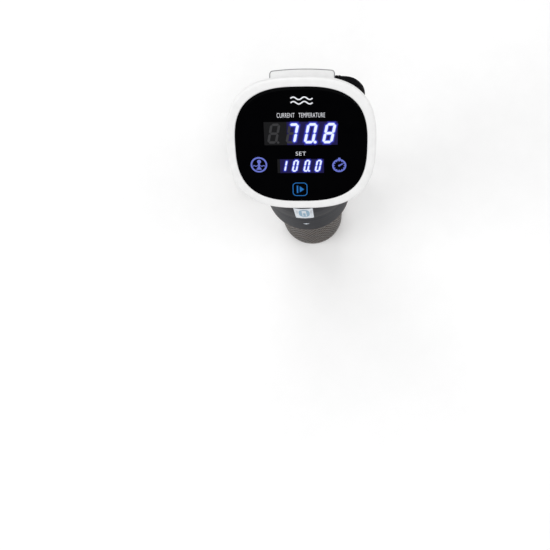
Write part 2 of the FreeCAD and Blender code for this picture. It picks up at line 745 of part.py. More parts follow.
def make_skirt():
    """Perforated steel skirt and the cap under it."""
    low, high = float(cap_top), float(size("skirt_top"))
    outer, inner = float(skirt_radius), float(skirt_bore)
    tube = Part.makeCylinder(outer, high - low, Vector(0, 0, low))
    tube = tube.cut(Part.makeCylinder(inner, high - low, Vector(0, 0, low)))
    columns, rows = int(size("hole_columns").number), int(size("hole_rows").number)
    first = low + float(size("cap_spigot")) + 6
    pitch = (float(size("neck_bottom")) - 8 - first) / (rows - 1)
    tools = []
    for row in range(rows):
        for column in range(columns):
            angle = 360.0 / columns * (column + 0.5 * (row % 2))
            direction = Vector(*on_circle(1, angle), 0)
            start = direction * (inner - 3) + Vector(0, 0, first + row * pitch)
            tools.append(Part.makeCylinder(float(size("hole_radius")), 8, start, direction))
    shaped("perforated_skirt", tube.cut(tools))

    spigot = skirt_bore - fixed(0.05)
    body = turned("bottom_cap", [
        (fixed(0), fixed(0)), (skirt_radius, fixed(0)), (skirt_radius, cap_top),
        (spigot, cap_top), (spigot, cap_top + size("cap_spigot")),
        (spigot - size("cap_wall"), cap_top + size("cap_spigot")),
        (spigot - size("cap_wall"), size("cap_floor")), (fixed(0), size("cap_floor"))])
    rounded(body, "cap_edge", size("cap_round"),
            lambda edge: abs(edge.BoundBox.ZMax) < 1e-6 and edge.BoundBox.XMax > 20)
    def slot(sketch):
        draw_outline(sketch, [(fixed(9), fixed(-2)), (fixed(23), fixed(-2)),
                              (fixed(23), fixed(2)), (fixed(9), fixed(2))])
    outlet = cut_through(body, "cap_slot", "XY_Plane", slot)
    repeated(body, outlet, 8)


# --------------------------------------------------------------- electronics
def make_electronics():
    """Power board standing across the collar, with its components."""
    board_y = fixed(14)
    bottom = size("collar_bottom") + fixed(9)
    height = fixed(39)
    thick = size("board_thick")
    rear = float(board_y) + float(thick)
    half = math.sqrt(float(collar_bore) ** 2 - rear ** 2) - float(clearance)
    group("power_board", [box("power_board_sheet", fixed(2 * half), thick, height,
                              (-half, board_y, bottom))])
    front = float(board_y)
    def on_board(label, x, width, depth, tall, level):
        """Box that stands on the front of the board."""
        group(label, [box(label + "_block", fixed(width), fixed(depth), fixed(tall),
                          (x, front - depth, float(bottom) + level))])
    on_board("transformer", -26, 24, 22, 22, 16)
    on_board("relay", 2, 19, 15, 15, 4)
    on_board("terminal_block", -24, 20, 10, 9, 3)
    capacitors = [rod("capacitor_%d" % n, fixed(5), fixed(13), (x, front, float(bottom) + z), -Y)
                  for n, (x, z) in enumerate(((9, 27), (21, 27), (27.2, 12)))]
    group("capacitors", capacitors)
    base = box("heat_sink_base", fixed(40), fixed(3), fixed(30),
               (-20, rear, float(bottom) + 8))
    fins = [box("heat_sink_fin_%d" % n, fixed(1.6), fixed(9), fixed(30),
                (-20 + n * 6.4, rear + 3, float(bottom) + 8)) for n in range(7)]
    keep(fused("heat_sink_body", [base] + fins), "heat_sink")


# -------------------------------------------------------------------- clamp
def make_clamp():
    """Bracket on the neck, sprung lever, pin, spring, pads and screws."""
    face = size("neck_top_radius") - fixed(5)
    back = size("neck_top_radius") + fixed(4.6)
    pivot_y, pivot_z = size("pivot_y"), size("pivot_level")
    under = pivot_z - fixed(22)
    over = under + fixed(14)
    bracket = padded("clamp_bracket", "YZ_Plane", [
        (face, under - fixed(44)), (back - fixed(1), under - fixed(44)), (back, under - fixed(38)),
        (back, under), (pivot_y + fixed(3), under), (pivot_y + fixed(7), pivot_z - fixed(3)),
        (pivot_y + fixed(7), pivot_z + fixed(3)), (pivot_y + fixed(3), pivot_z + fixed(7)),
        (pivot_y - fixed(3), pivot_z + fixed(7)), (pivot_y - fixed(9), over),
        (back + fixed(3), over), (back, over + fixed(6)),
        (back, size("collar_bottom") - clearance * 2), (face, size("collar_bottom") - clearance * 2)],
        size("clamp_width"), symmetric=True)
    def bore(sketch):
        draw_circle(sketch, pivot_y, pivot_z, size("pin_radius") + running_fit)
    cut_through(bracket, "bracket_bore", "YZ_Plane", bore)
    def saddle(sketch):
        draw_circle(sketch, fixed(0), fixed(0), size("neck_top_radius") + fit_gap)
    cut_through(bracket, "bracket_saddle", "XY_Plane", saddle)
    def spring_slot(sketch):
        draw_outline(sketch, [(fixed(-7), pivot_y - fixed(7.5)), (fixed(7), pivot_y - fixed(7.5)),
                              (fixed(7), pivot_y + fixed(12)), (fixed(-7), pivot_y + fixed(12))])
    cut_through(bracket, "spring_slot", "XY_Plane", spring_slot)
    def bracket_screw_holes(sketch):
        for level in SCREW_LEVELS:
            draw_circle(sketch, fixed(0), level, fixed(1.6))
    cut_through(bracket, "bracket_screw_hole", "XZ_Plane", bracket_screw_holes)

    jaw = back + size("pad_thick") * 2 + size("wall_gap")
    lever = padded("clamp_lever", "YZ_Plane", [
        (jaw, pivot_z - fixed(78)), (jaw + fixed(4.5), pivot_z - fixed(78)),
        (jaw + fixed(6.5), pivot_z - fixed(40)), (pivot_y + fixed(5), pivot_z - fixed(16)),
        (pivot_y + fixed(8.5), pivot_z), (pivot_y + fixed(10.5), pivot_z + fixed(58)),
        (pivot_y + fixed(5), pivot_z + fixed(60)), (pivot_y - fixed(1), pivot_z + fixed(22)),
        (pivot_y - fixed(6), pivot_z + fixed(6)), (pivot_y - fixed(6), pivot_z - fixed(8)),
        (jaw, pivot_z - fixed(26))],
        size("lever_width"), symmetric=True)
    half = size("clamp_width") / 2 + fixed(0.5)
    def notch(sketch):
        draw_outline(sketch, [(-half, under - fixed(0.5)), (half, under - fixed(0.5)),
                              (half, pivot_z + fixed(22)), (-half, pivot_z + fixed(22))])
    cut_through(lever, "lever_notch", "XZ_Plane", notch)
    def pin_hole(sketch):
        draw_circle(sketch, pivot_y, pivot_z, size("pin_radius") + fixed(0.02))
    cut_through(lever, "lever_pin_hole", "YZ_Plane", pin_hole)

    length = size("lever_width") - fixed(1)
    group("clamp_pin", [rod("clamp_pin_rod", size("pin_radius"), length,
                            (-length / 2, pivot_y, pivot_z), X)])
    coil = rod("spring_coil_outer", size("pin_radius") + fixed(2.6), fixed(12),
               (-6, pivot_y, pivot_z), X)
    bore_tool = rod("spring_coil_bore", size("pin_radius") + fixed(0.4), fixed(12),
                    (-6, pivot_y, pivot_z), X)
    keep(carved("spring_coil", coil, bore_tool), "clamp_spring")
    pad_low = pivot_z - fixed(62)
    for label, y in (("fixed_pad", back), ("jaw_pad", jaw - size("pad_thick"))):
        group(label, [box(label + "_block", fixed(24), size("pad_thick"), fixed(30),
                          (-12, y, pad_low))])
    screws = []
    for number, level in enumerate(SCREW_LEVELS):
        shank = rod("clamp_shank_%d" % number, fixed(1.5), fixed(7), (0, float(back), level), -Y)
        head = rod("clamp_head_%d" % number, fixed(2.8), fixed(2), (0, float(back) + 2, level), -Y)
        screws.append(fused("clamp_screw_%d" % number, [shank, head]))
    group("clamp_screws", screws)


# ----------------------------------------------------------- cord and plug
# Route of the free cord, chosen by hand: out of the housing, down behind the
# stem and along the surface to the coil.
CORD = [Vector(*point) for point in (
    (28.5, 51.9, 314.4),
    (34.0, 51.9, 314.4),
    (39.8, 50.0, 312.0),
    (43.8, 47.4, 305.4),
    (43.9, 45.2, 294.2),
    (43.8, 42.0, 274.0),
    (45.4, 39.0, 236.0),
    (46.4, 38.2, 190.0),
    (46.2, 40.0, 138.0),
    (45.0, 44.5, 90.0),
    (43.8, 50.5, 50.0),
    (42.0, 59.5, 21.0),
    (39.0, 76.0, 6.2),
    (33.6, 97.0, 3.3),
)]
PLUG_LEAD = [Vector(*point) for point in (
    (-17.6, 147.0, 10.0),
    (-43.0, 147.0, 11.5),
    (-59.8, 137.4, 15.5),
    (-69.4, 120.6, 18.5),
    (-69.4, 104.0, 18.5),
)]
COIL_CENTRE = Vector(-10.0, 104.0, 0.0)


def cord_path(points):
    """Straight runs joined by tangent arcs, and the arcs' radii."""
    edges, radii = [], []
    here = points[0]
    for before, corner, after in zip(points, points[1:], points[2:]):
        into, out = corner - before, after - corner
        run = min(into.Length, out.Length)
        into.normalize()
        out.normalize()
        turn = into.getAngle(out)
        reach = 0.45 * run
        radii.append(reach / math.tan(turn / 2))
        start, end = corner - into * reach, corner + out * reach
        inward = (out - into)
        inward.normalize()
        centre_gap = radii[-1] / math.cos(turn / 2)
        middle = corner + inward * (centre_gap - radii[-1])
        edges.append(Part.LineSegment(here, start).toShape())
        edges.append(Part.Arc(start, middle, end).toShape())
        here = end
    edges.append(Part.LineSegment(here, points[-1]).toShape())
    return Part.Wire(edges), radii


def make_cord():
    """Strain relief, cord, put-away coil, tie and plug."""
    radius = float(size("cord_radius"))
    tubes, sleeves = [], []
    for points in (CORD, PLUG_LEAD):
        path, radii = cord_path(points)
        first = points[1] - points[0]
        section = Part.Wire(Part.Circle(points[0], first, radius).toShape())
        wider = Part.Wire(Part.Circle(points[0], first, radius + 0.1).toShape())
        tube = path.makePipeShell([section], True, True)
        expected = math.pi * radius ** 2 * path.Length
        print("cord radii", [round(r, 1) for r in radii])
        print("cord length %.1f mm, volume %.0f of %.0f" % (path.Length, tube.Volume, expected))
        tubes.append(tube)
        sleeves.append(path.makePipeShell([wider], True, True))
    shaped("cord", Part.makeCompound(tubes))

    relief_length = 22.0
    relief = doc.addObject("Part::Cone", "relief_cone")
    bind(relief, Radius1=size("relief_radius"), Radius2=size("cord_radius") + fixed(0.5))
    relief.Height = relief_length
    backward = CORD[0] - X * relief_length      # its tip meets the start of the cord
    relief.Placement = Placement(backward, Rotation(Z, X))
    doc.recompute()
    keep(relief, "strain_relief")

    half = size("coil_width") / 2
    turns = carved("coil_turns",
                   rod("coil_outer", size("coil_radius") + half, size("coil_height"), COIL_CENTRE),
                   rod("coil_inner", size("coil_radius") - half, size("coil_height"), COIL_CENTRE))
    groove = doc.addObject("Part::Feature", "coil_groove")
    groove.Shape = Part.makeCompound(sleeves)
    keep(carved("coil_with_groove", turns, groove), "cord_coil")
    across, high = float(size("coil_width")), float(size("coil_height"))
    start = Vector(float(size("coil_radius")) - across / 2 - 2.3, -4.5, 0)
    tie = Part.makeBox(across + 4, 9, high + 1.6, start)
    tie = tie.cut(Part.makeBox(across + 1.4, 9, high + 0.2, start + Vector(1.3, 0, 0)))
    shaped("cord_tie", tie, Placement(COIL_CENTRE, Rotation(Z, 40)))

    plug_radius = size("plug_radius")
    axis_level = plug_radius
    tail = PLUG_LEAD[-1]
    start = Vector(tail.x, tail.y - float(size("plug_length")) - 12, float(axis_level))
    plug = fused("plug_solid", [
        rod("plug_front", plug_radius, fixed(16), start, Y),
        rod("plug_waist", plug_radius - fixed(3.5), size("plug_length") - fixed(14),
            start + Y * 14, Y),
        rod("plug_tail", fixed(7), fixed(14), start + Y * (float(size("plug_length")) - 2), Y)])
    keep(plug, "plug")
    pins = [rod("plug_pin_%d" % n, fixed(2.4), fixed(19), start + Vector(dx, 0, 0), -Y)
            for n, dx in enumerate((-9.5, 9.5))]
    group("plug_pins", pins)


make_face()
make_display()
make_head()
make_collar()
make_label()
make_motor()
make_pump()
make_flange()
make_heater()
make_probes()
make_skirt()
make_electronics()
make_clamp()
make_cord()
doc.recompute()

# ------------------------------------------------------------ check and write
for item in doc.Objects:
    if {"Invalid", "Error"} & set(item.State):
        raise RuntimeError("%s is in state %s" % (item.Label, item.State))
for piece in PARTS:
    shape = piece.Shape
    if shape.isNull() or not shape.isValid() or not shape.Solids:
        raise RuntimeError("%s has no valid solid" % piece.Label)
for piece in PARTS:
    piece.Shape.exportStep("parts/%s.step" % piece.Label)
print(len(PARTS), "sub-parts written")
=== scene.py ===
# %% [markdown]
# # An immersion circulator for sous vide cooking
# The object is a kitchen tool that heats and stirs a water bath: a white head with a sloping
# black touch panel, a dark stem, a perforated steel skirt over the heater and the pump, a
# clamp for the pot's wall, and a mains cord. The CAD model already fixes every size and
# every joint. This file loads it and dresses it: each visible piece is either kept and
# given a better finish, or replaced by a finer mesh that fills the same space.

# %% Load the CAD frame
import math

import bpy
from mathutils import Matrix, Vector


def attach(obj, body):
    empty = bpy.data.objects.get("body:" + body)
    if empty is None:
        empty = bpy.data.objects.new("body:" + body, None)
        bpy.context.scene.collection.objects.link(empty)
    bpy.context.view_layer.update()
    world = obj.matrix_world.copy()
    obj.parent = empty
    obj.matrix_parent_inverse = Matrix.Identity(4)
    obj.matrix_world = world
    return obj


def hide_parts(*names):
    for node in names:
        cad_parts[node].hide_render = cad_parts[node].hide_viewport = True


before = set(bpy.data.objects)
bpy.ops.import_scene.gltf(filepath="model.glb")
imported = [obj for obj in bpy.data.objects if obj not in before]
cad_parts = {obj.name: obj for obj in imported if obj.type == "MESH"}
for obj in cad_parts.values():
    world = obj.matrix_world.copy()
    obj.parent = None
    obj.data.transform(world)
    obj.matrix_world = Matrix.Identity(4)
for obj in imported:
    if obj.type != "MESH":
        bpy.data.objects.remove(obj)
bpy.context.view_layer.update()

MM = 0.001

# %% [markdown]
# ## The camera
# The object is looked at from high above the user's side, as a cook would see it in the pot.
# A camera can be aimed with a tracking constraint, but a plain matrix is exact: three
# unit vectors say where its right, its top and its back point.

# %% Place the camera
CAMERA_AT = Vector((23.4, -138.0, 872.0)) * MM
LOOK = Vector((-0.0754, 0.0790, -0.9940)).normalized()
ROLL = 0.005
LENS, SENSOR, NEAREST = 50.0, 36.0, 0.01


def linked(name, data):
    """A new object for some data, put into the scene."""
    made = bpy.data.objects.new(name, data)
    bpy.context.collection.objects.link(made)
    return made


def aim_camera(name, place, look, roll):
    """A camera at place that looks along look, its top towards the rear of the table."""
    data = bpy.data.cameras.new(name)
    data.lens = LENS
    data.sensor_width = SENSOR
    data.clip_start = NEAREST
    right = Vector((math.cos(roll), math.sin(roll), 0.0))
    right = (right - look * right.dot(look)).normalized()
    top = right.cross(look)
    turn = Matrix((right, top, -look)).transposed().to_4x4()
    camera = linked(name, data)
    camera.matrix_world = Matrix.Translation(place) @ turn
    bpy.context.scene.camera = camera


aim_camera("camera", CAMERA_AT, LOOK, ROLL)
print("camera looks down", round(math.degrees(math.acos(-LOOK.z)), 1), "degrees off the vertical")

# %% [markdown]
# ## Finishes
# Every material is a small node tree on the Principled shader. Real surfaces are never one
# flat value: plastic has a fine moulded grain, steel has turning marks, rubber has dust in
# its pores. Image textures could show that, but noise in object space needs no unwrapping
# and keeps its real size in metres, so it is used all through.

# %% Helpers for nodes and colours
def linear(screen):
    """A colour given as 0-255 screen values, as the shader wants it."""
    out = []
    for value in screen:
        value = value / 255.0
        out.append(value / 12.92 if value <= 0.04045 else ((value + 0.055) / 1.055) ** 2.4)
    return (*out, 1.0)


def node(tree, kind, inputs=None, **settings):
    """A new shader node with its settings and its inputs set."""
    made = tree.nodes.new("ShaderNode" + kind)
    for setting, value in settings.items():
        setattr(made, setting, value)
    for socket, value in (inputs or {}).items():
        made.inputs[socket].default_value = value
    return made


def two_colours(tree, places, colours):
    """A ramp between two screen colours."""
    ramp = node(tree, "ValToRGB")
    for stop, place, colour in zip(ramp.color_ramp.elements, places, colours):
        stop.position = place
        stop.color = linear(colour)
    return ramp


def principled(name, inputs):
    """A new material, its node tree and its Principled shader with inputs set."""
    material = bpy.data.materials.new(name)
    material.use_nodes = True
    shader = material.node_tree.nodes["Principled BSDF"]
    for socket, value in inputs.items():
        shader.inputs[socket].default_value = value
    FINISHES[name] = material
    return material, material.node_tree, shader


FINISHES = {}
print("mid grey as the shader wants it:", round(linear((128, 128, 128))[0], 3))

# %% [markdown]
# ### One recipe for every surface
# A fine grain and a slow cloud, fourteen times as large, are added up. Their sum moves the
# colour and the polish together, as wear does, and the grain alone gives the relief. Two
# separate noises for colour and polish would look like two coats of paint.

# %% A helper that builds one finish
GRAIN_SHARE, CLOUD_SHARE, CLOUD_SIZE = 0.45, 0.55, 14.0
GRAIN_DETAIL, GRAIN_CRUMBLE, CLOUD_DETAIL = 4.0, 0.62, 2.0
RELIEF_DEPTH, COAT_ROUGHNESS = 0.00005, 0.08


def finish(name, dark, light, rough, metal=0.0, grain=900.0, stretch=(1, 1, 1), bump=0.1,
           coat=0.0, gloss=0.5, edge=1.0):
    """A Principled material whose colour and roughness wander between two values.

    gloss is the shine of a non-metal, edge darkens a metal where it is seen at a slant."""
    material, tree, shader = principled(name, {
        "Metallic": metal, "Specular IOR Level": gloss,
        "Specular Tint": (edge, edge, edge, 1.0), "Coat Weight": coat,
        "Coat Roughness": COAT_ROUGHNESS})
    place = node(tree, "TexCoord")
    scale = node(tree, "Mapping", {"Scale": stretch})
    noise = node(tree, "TexNoise", {"Scale": grain, "Detail": GRAIN_DETAIL,
                                    "Roughness": GRAIN_CRUMBLE})
    cloud = node(tree, "TexNoise", {"Scale": grain / CLOUD_SIZE, "Detail": CLOUD_DETAIL})
    share = node(tree, "Math", {1: CLOUD_SHARE}, operation="MULTIPLY")
    blend = node(tree, "Math", {1: GRAIN_SHARE}, operation="MULTIPLY_ADD")
    ramp = two_colours(tree, (0.35, 0.65), (dark, light))
    polish = node(tree, "MapRange", {"From Min": 0.3, "From Max": 0.7,
                                     "To Min": rough[0], "To Max": rough[1]})
    relief = node(tree, "Bump", {"Strength": bump, "Distance": RELIEF_DEPTH})
    for start, end in ((place.outputs["Object"], scale.inputs["Vector"]),
                       (scale.outputs["Vector"], noise.inputs["Vector"]),
                       (scale.outputs["Vector"], cloud.inputs["Vector"]),
                       (cloud.outputs["Fac"], share.inputs[0]),
                       (noise.outputs["Fac"], blend.inputs[0]),
                       (share.outputs["Value"], blend.inputs[2]),
                       (blend.outputs["Value"], ramp.inputs["Fac"]),
                       (blend.outputs["Value"], polish.inputs["Value"]),
                       (ramp.outputs["Color"], shader.inputs["Base Color"]),
                       (polish.outputs["Result"], shader.inputs["Roughness"]),
                       (noise.outputs["Fac"], relief.inputs["Height"]),
                       (relief.outputs["Normal"], shader.inputs["Normal"])):
        tree.links.new(start, end)
    return material


print("one cloud is as wide as", CLOUD_SIZE, "grains")

# %% [markdown]
# ### White moulding and black glass
# The head is moulded in white plastic with a satin skin, so its grain is very fine and its
# colour hardly changes. The panel is glass printed black on its back: deep, smooth, with
# only the faintest change of polish where fingers have been.

# %% Head finishes
white_shell = finish("white_moulding", (228, 228, 228), (234, 234, 234),
                     (0.4, 0.48), grain=2600, bump=0.05, gloss=0.3)
black_glass = finish("black_glass", (1, 1, 2), (3, 3, 4), (0.07, 0.12),
                     grain=60, bump=0.01, gloss=0.015)
seal_rubber = finish("grey_silicone", (60, 60, 62), (78, 78, 80), (0.55, 0.7),
                     grain=1800, bump=0.15)
print("head finishes:", white_shell.name, black_glass.name, seal_rubber.name)

# %% [markdown]
# ### Dark metal
# The collar and the lower neck are dark anodised metal with fine turning marks that run
# round them. Noise stretched thin along Z gives rings, because it then changes fast up the
# stem and slowly round it.

# %% Stem finishes
dark_collar = finish("dark_collar", (52, 52, 57), (67, 67, 73), (0.32, 0.44),
                     metal=1.0, grain=420, stretch=(0.05, 0.05, 4.0), bump=0.12, edge=0.4)
dark_neck = finish("dark_neck", (42, 43, 50), (56, 57, 65), (0.32, 0.44),
                   metal=1.0, grain=420, stretch=(0.05, 0.05, 4.0), bump=0.12, edge=0.4)
# The skirt's steel is coloured darker and browner than bare steel: partly its own dull tone, partly
# a painted reflection of dark surroundings.
dark_steel = finish("dark_steel_painted_reflection", (82, 74, 69), (126, 115, 108), (0.22, 0.38),
                    metal=1.0, grain=500, edge=0.5)
steel = finish("brushed_steel", (150, 150, 152), (196, 196, 198), (0.22, 0.36),
               metal=1.0, grain=700, stretch=(0.1, 0.1, 2.5), bump=0.12)
print("stem finishes:", dark_collar.name, dark_neck.name, dark_steel.name, steel.name)

# %% [markdown]
# ### Rubber, boards and the small stuff inside
# What sits inside is seldom seen, but it is seen when the part is opened or cut, so each
# piece gets what it is made of.

# %% Inner finishes
black_rubber = finish("black_sheath", (3, 3, 5), (10, 10, 13), (0.5, 0.62),
                      grain=1500, bump=0.12, gloss=0.06)
pad_rubber = finish("pad_rubber", (38, 38, 40), (56, 56, 58), (0.6, 0.75),
                    grain=1300, bump=0.25)
board_green = finish("board_green", (14, 66, 40), (30, 104, 62), (0.3, 0.45),
                     grain=260, stretch=(3, 0.4, 3), bump=0.2)
smoked = finish("smoked_block", (20, 20, 30), (34, 34, 50), (0.15, 0.25), grain=500)
black_part = finish("black_moulding", (24, 24, 26), (38, 38, 40), (0.4, 0.55),
                    grain=1600, bump=0.12)
grey_part = finish("grey_moulding", (120, 123, 128), (144, 147, 152), (0.4, 0.52),
                   grain=1600, bump=0.12)
ferrite = finish("ferrite", (52, 50, 54), (78, 76, 80), (0.6, 0.8), grain=1900,
                 bump=0.3)
aluminium = finish("extruded_aluminium", (188, 190, 193), (216, 218, 220),
                   (0.28, 0.42), metal=1.0, grain=500, stretch=(0.2, 0.2, 3), bump=0.12)
brass = finish("turned_brass", (176, 142, 84), (214, 180, 118), (0.2, 0.34),
               metal=1.0, grain=600, stretch=(0.2, 0.2, 3), bump=0.1)
winding = finish("taped_winding", (150, 112, 30), (196, 152, 54), (0.35, 0.5),
                 grain=500, stretch=(0.3, 0.3, 5), bump=0.2)
label_film = finish("label_film", (196, 204, 214), (214, 221, 229), (0.3, 0.42),
                    grain=1200, bump=0.05, coat=0.2)
print("finishes so far:", len(FINISHES))

# %% [markdown]
# ### Lit figures
# The figures glow through the glass. An emitting surface is enough, as long as it is only
# a little brighter than white paper, or it burns out to a plain white and loses its blue.

# %% Light from behind the glass
GLOW_GRAIN, GLOW_SHADE = 240.0, 0.93


def glow(name, inner, outer, strength):
    """A flat light whose colour wanders a little, as light behind a diffuser does."""
    material, tree, shader = principled(name, {
        "Specular IOR Level": 0.1, "Emission Strength": strength, "Roughness": 0.3})
    noise = node(tree, "TexNoise", {"Scale": GLOW_GRAIN})
    ramp = two_colours(tree, (0.3, 0.7), (inner, outer))
    shade = node(tree, "Mix", data_type="RGBA")
    shade.inputs["Factor"].default_value = GLOW_SHADE
    shade.inputs[7].default_value = (0.0, 0.0, 0.0, 1.0)
    tree.links.new(noise.outputs["Fac"], ramp.inputs["Fac"])
    tree.links.new(ramp.outputs["Color"], shade.inputs[6])
    tree.links.new(shade.outputs[2], shader.inputs["Base Color"])
    tree.links.new(ramp.outputs["Color"], shader.inputs["Emission Color"])
    return material


lit = glow("lit_segment", (224, 234, 254), (240, 246, 255), 1.0)
blue_lamp = glow("blue_lamp", (96, 106, 196), (112, 124, 208), 0.95)
cyan_lamp = glow("cyan_lamp", (34, 104, 176), (44, 122, 196), 0.9)
caption_white = glow("caption_white", (226, 228, 234), (240, 241, 246), 0.95)
# The unlit bars glow though they are no lamp: painted light for the room light they reflect.
unlit = glow("unlit_segment_painted_glow", (50, 50, 52), (60, 60, 62), 0.9)
# The display's dark ground glows faintly though it is no lamp: painted light for the haze of room
# light under the glass.
ground_painted_glow = glow("ground_painted_glow", (18, 18, 20), (23, 23, 25), 0.8)
print("finishes with the lamps:", len(FINISHES))

# %% [markdown]
# ## Shared shapes
# Nearly everything here is a set of rows of points joined into a skin: a profile turned
# about an axis, a section swept round the face's squarish outline, or a round bar drawn
# along a path. Each becomes a piece that rides on one body of the CAD model.

# %% Make a piece from points and faces
SHARP_ANGLE = 40


def piece(name, points, faces, material, smooth=True, body="stem"):
    """A mesh object, in metres, that rides on a body and has a finish."""
    mesh = bpy.data.meshes.new(name)
    mesh.from_pydata([tuple(p) for p in points], [], faces)
    mesh.validate()
    mesh.materials.append(material)
    if smooth:
        mesh.shade_smooth()
        mesh.set_sharp_from_angle(angle=math.radians(SHARP_ANGLE))
    made = linked(name, mesh)
    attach(made, body)
    return made


print("edges over", SHARP_ANGLE, "degrees stay sharp")

# %% [markdown]
# ### Skins from rows of points
# A loft in the modifier stack hides its order of points. Rows written out as lists keep it
# plain: one helper closes every row into a ring, the other leaves an open sheet.

# %% Join rows into a skin
def swept(rows, capped=False):
    """Points and faces of rings, joined first to last, or open with flat ends."""
    points = [p for row in rows for p in row]
    count = len(rows[0])
    faces = []
    for j in range(len(rows) - 1 if capped else len(rows)):
        here, there = j * count, ((j + 1) % len(rows)) * count
        for i in range(count):
            k = (i + 1) % count
            faces.append((here + i, here + k, there + k, there + i))
    if capped:
        faces.append(tuple(range(count))[::-1])
        faces.append(tuple(range(len(points) - count, len(points))))
    return points, faces


def sheet(rows, count, first=0):
    """Faces of an open sheet of rows with count points each, numbered from first."""
    starts = [first + j * count + i for j in range(rows - 1) for i in range(count - 1)]
    return [(k, k + 1, k + count + 1, k + count) for k in starts]


print("faces in a sheet of 3 by 3 points:", len(sheet(3, 3)))

# %% [markdown]
# ### Rounded corners
# Real edges are never sharp. Each corner of a drawn profile carries its own rounding, and a
# short curve that starts and ends on its two sides takes the corner's place.

# %% Round the corners of a drawn profile
def eased(corners, steps=5):
    """Corners given as (radius, height, rounding); returns a smooth list of points."""
    out = []
    count = len(corners)
    for i, (r, z, ease) in enumerate(corners):
        here = Vector((r, z))
        before = Vector(corners[i - 1][:2])
        after = Vector(corners[(i + 1) % count][:2])
        if ease <= 0:
            out.append(here)
            continue
        to_before, to_after = before - here, after - here
        reach = min(ease, to_before.length * 0.45, to_after.length * 0.45)
        start = here + to_before.normalized() * reach
        end = here + to_after.normalized() * reach
        for step in range(steps + 1):
            t = step / steps
            out.append(start * (1 - t) ** 2 + here * 2 * t * (1 - t) + end * t ** 2)
    return out


print("points on one rounded corner:", len(eased([(0, 0, 1), (5, 0, 0), (0, 5, 0)])) - 2)

# %% [markdown]
# ### Turned pieces and round bars
# A lathe gives rings, plugs and ribs, and bent bar gives springs and piping. Blender's
# screw modifier and curve bevel would do it too, but a plain mesh can be measured at once.

# %% Turn a profile, or draw a bar along a path
def polar(radius, angle, level=0.0):
    """A point at a distance and an angle from the upright axis."""
    return Vector((radius * math.cos(angle), radius * math.sin(angle), level))


def turned(name, corners, material, around=144, axis=(0, 0, 1), start=(0, 0, 0)):
    """A closed profile of (radius, height, rounding) in millimetres, turned about a line."""
    aim = Vector(axis).to_track_quat("Z", "Y")
    turns = [2 * math.pi * i / around for i in range(around)]
    points, faces = swept([[(Vector(start) + aim @ polar(r, a, z)) * MM for a in turns]
                           for r, z in eased(corners)])
    return piece(name, points, [f[::-1] for f in faces], material)


def wire(name, path, radius, material, around=12):
    """A round bar along points in millimetres, with flat ends.

    The side vector is carried along and straightened, so the skin doesn't twist."""
    path = [Vector(p) for p in path]
    turns = [2 * math.pi * k / around for k in range(around)]
    rows, side = [], None
    for i, here in enumerate(path):
        along = (path[min(i + 1, len(path) - 1)] - path[max(i - 1, 0)]).normalized()
        if side is None:
            side = along.orthogonal().normalized()
        side = (side - along * side.dot(along)).normalized()
        up = along.cross(side)
        rows.append([(here + side * radius * math.cos(a) + up * radius * math.sin(a)) * MM
                     for a in turns])
    points, faces = swept(rows, capped=True)
    return piece(name, points, faces, material)


print("a quarter turn ends at", [round(value, 3) for value in polar(1.0, math.pi / 2)])


# %% [markdown]
# ## The sloping face
# The face is a rectangle with bulging sides and generous corners. A superellipse draws that
# with one exponent, which is also how the CAD model does it, so both agree everywhere.

# %% The face's own frame
FACE_TILT = math.radians(37.0)
FACE_CENTRE = Vector((0, -2, 331))
HALF_WIDTH, HALF_LENGTH, SQUARENESS = 54.0, 50.4, 2.77


def on_face(x, y, z):
    """Millimetres across, up the slope and out of the glass, to metres in the scene."""
    c, s = math.cos(FACE_TILT), math.sin(FACE_TILT)
    return (FACE_CENTRE + Vector((x, y * c - z * s, y * s + z * c))) * MM


def outline(inset, count=160):
    """The face's outline, drawn in by inset, as points across and along."""
    points = []
    for i in range(count):
        a = 2 * math.pi * (i + 0.5) / count
        across = math.copysign(abs(math.cos(a)) ** (2 / SQUARENESS), math.cos(a))
        along = math.copysign(abs(math.sin(a)) ** (2 / SQUARENESS), math.sin(a))
        points.append(((HALF_WIDTH - inset) * across, (HALF_LENGTH - inset) * along))
    return points


def round_the_face(name, profile, material, cap=False):
    """A profile of (inset, level) swept round the face's outline."""
    rows = [[on_face(x, y, level) for x, y in outline(inset)] for inset, level in profile]
    points, faces = swept(rows, capped=cap)
    return piece(name, points, faces, material)


print("face outline:", round(2 * HALF_WIDTH), "x", round(2 * HALF_LENGTH, 1), "mm")


# %% [markdown]
# ### Bezel and glass
# The bezel is one moulding with a soft outer shoulder and a crisp inner lip round the
# glass. A bevel on a plain slab would give equal roundings; sweeping a drawn section gives
# each edge its own. The glass is a slab with a hair of edge rounding, sunk a little.

# %% Bezel
bezel_section = [(p.x, p.y) for p in eased([
    (0.7, -5.5, 0.4), (0.0, -4.6, 0.5), (0.0, 0.0, 3.4), (5.7, 0.0, 0.5), (6.4, -0.5, 0.3),
    (6.4, -2.1, 0), (8.8, -2.1, 0), (8.8, -5.5, 0)], steps=7)]
bezel = round_the_face("bezel_ring", bezel_section, white_shell)
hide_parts("bezel")
print("bezel:", len(bezel.data.polygons), "faces")

# %% [markdown]
# The glass closes itself: its section runs from the back face round the edge to the front,
# and both ends of the sweep are capped.

# %% Glass
glass_section = [(9.0, -2.05), (6.55, -2.05), (6.5, -0.45), (6.6, -0.22), (6.85, -0.12),
                 (9.0, -0.11)]
glass = round_the_face("panel_glass", glass_section, black_glass, cap=True)
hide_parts("face_glass")
print("glass:", len(glass.data.polygons), "faces")

# %% [markdown]
# ### What shows through the glass
# Figures, captions and symbols are drawn as thin plates that lie on the glass. Each is a
# list of outlines in millimetres on the face, so a drawing can be corrected by hand.

# %% Thin plates on the face
GLASS_LEVEL = -0.09


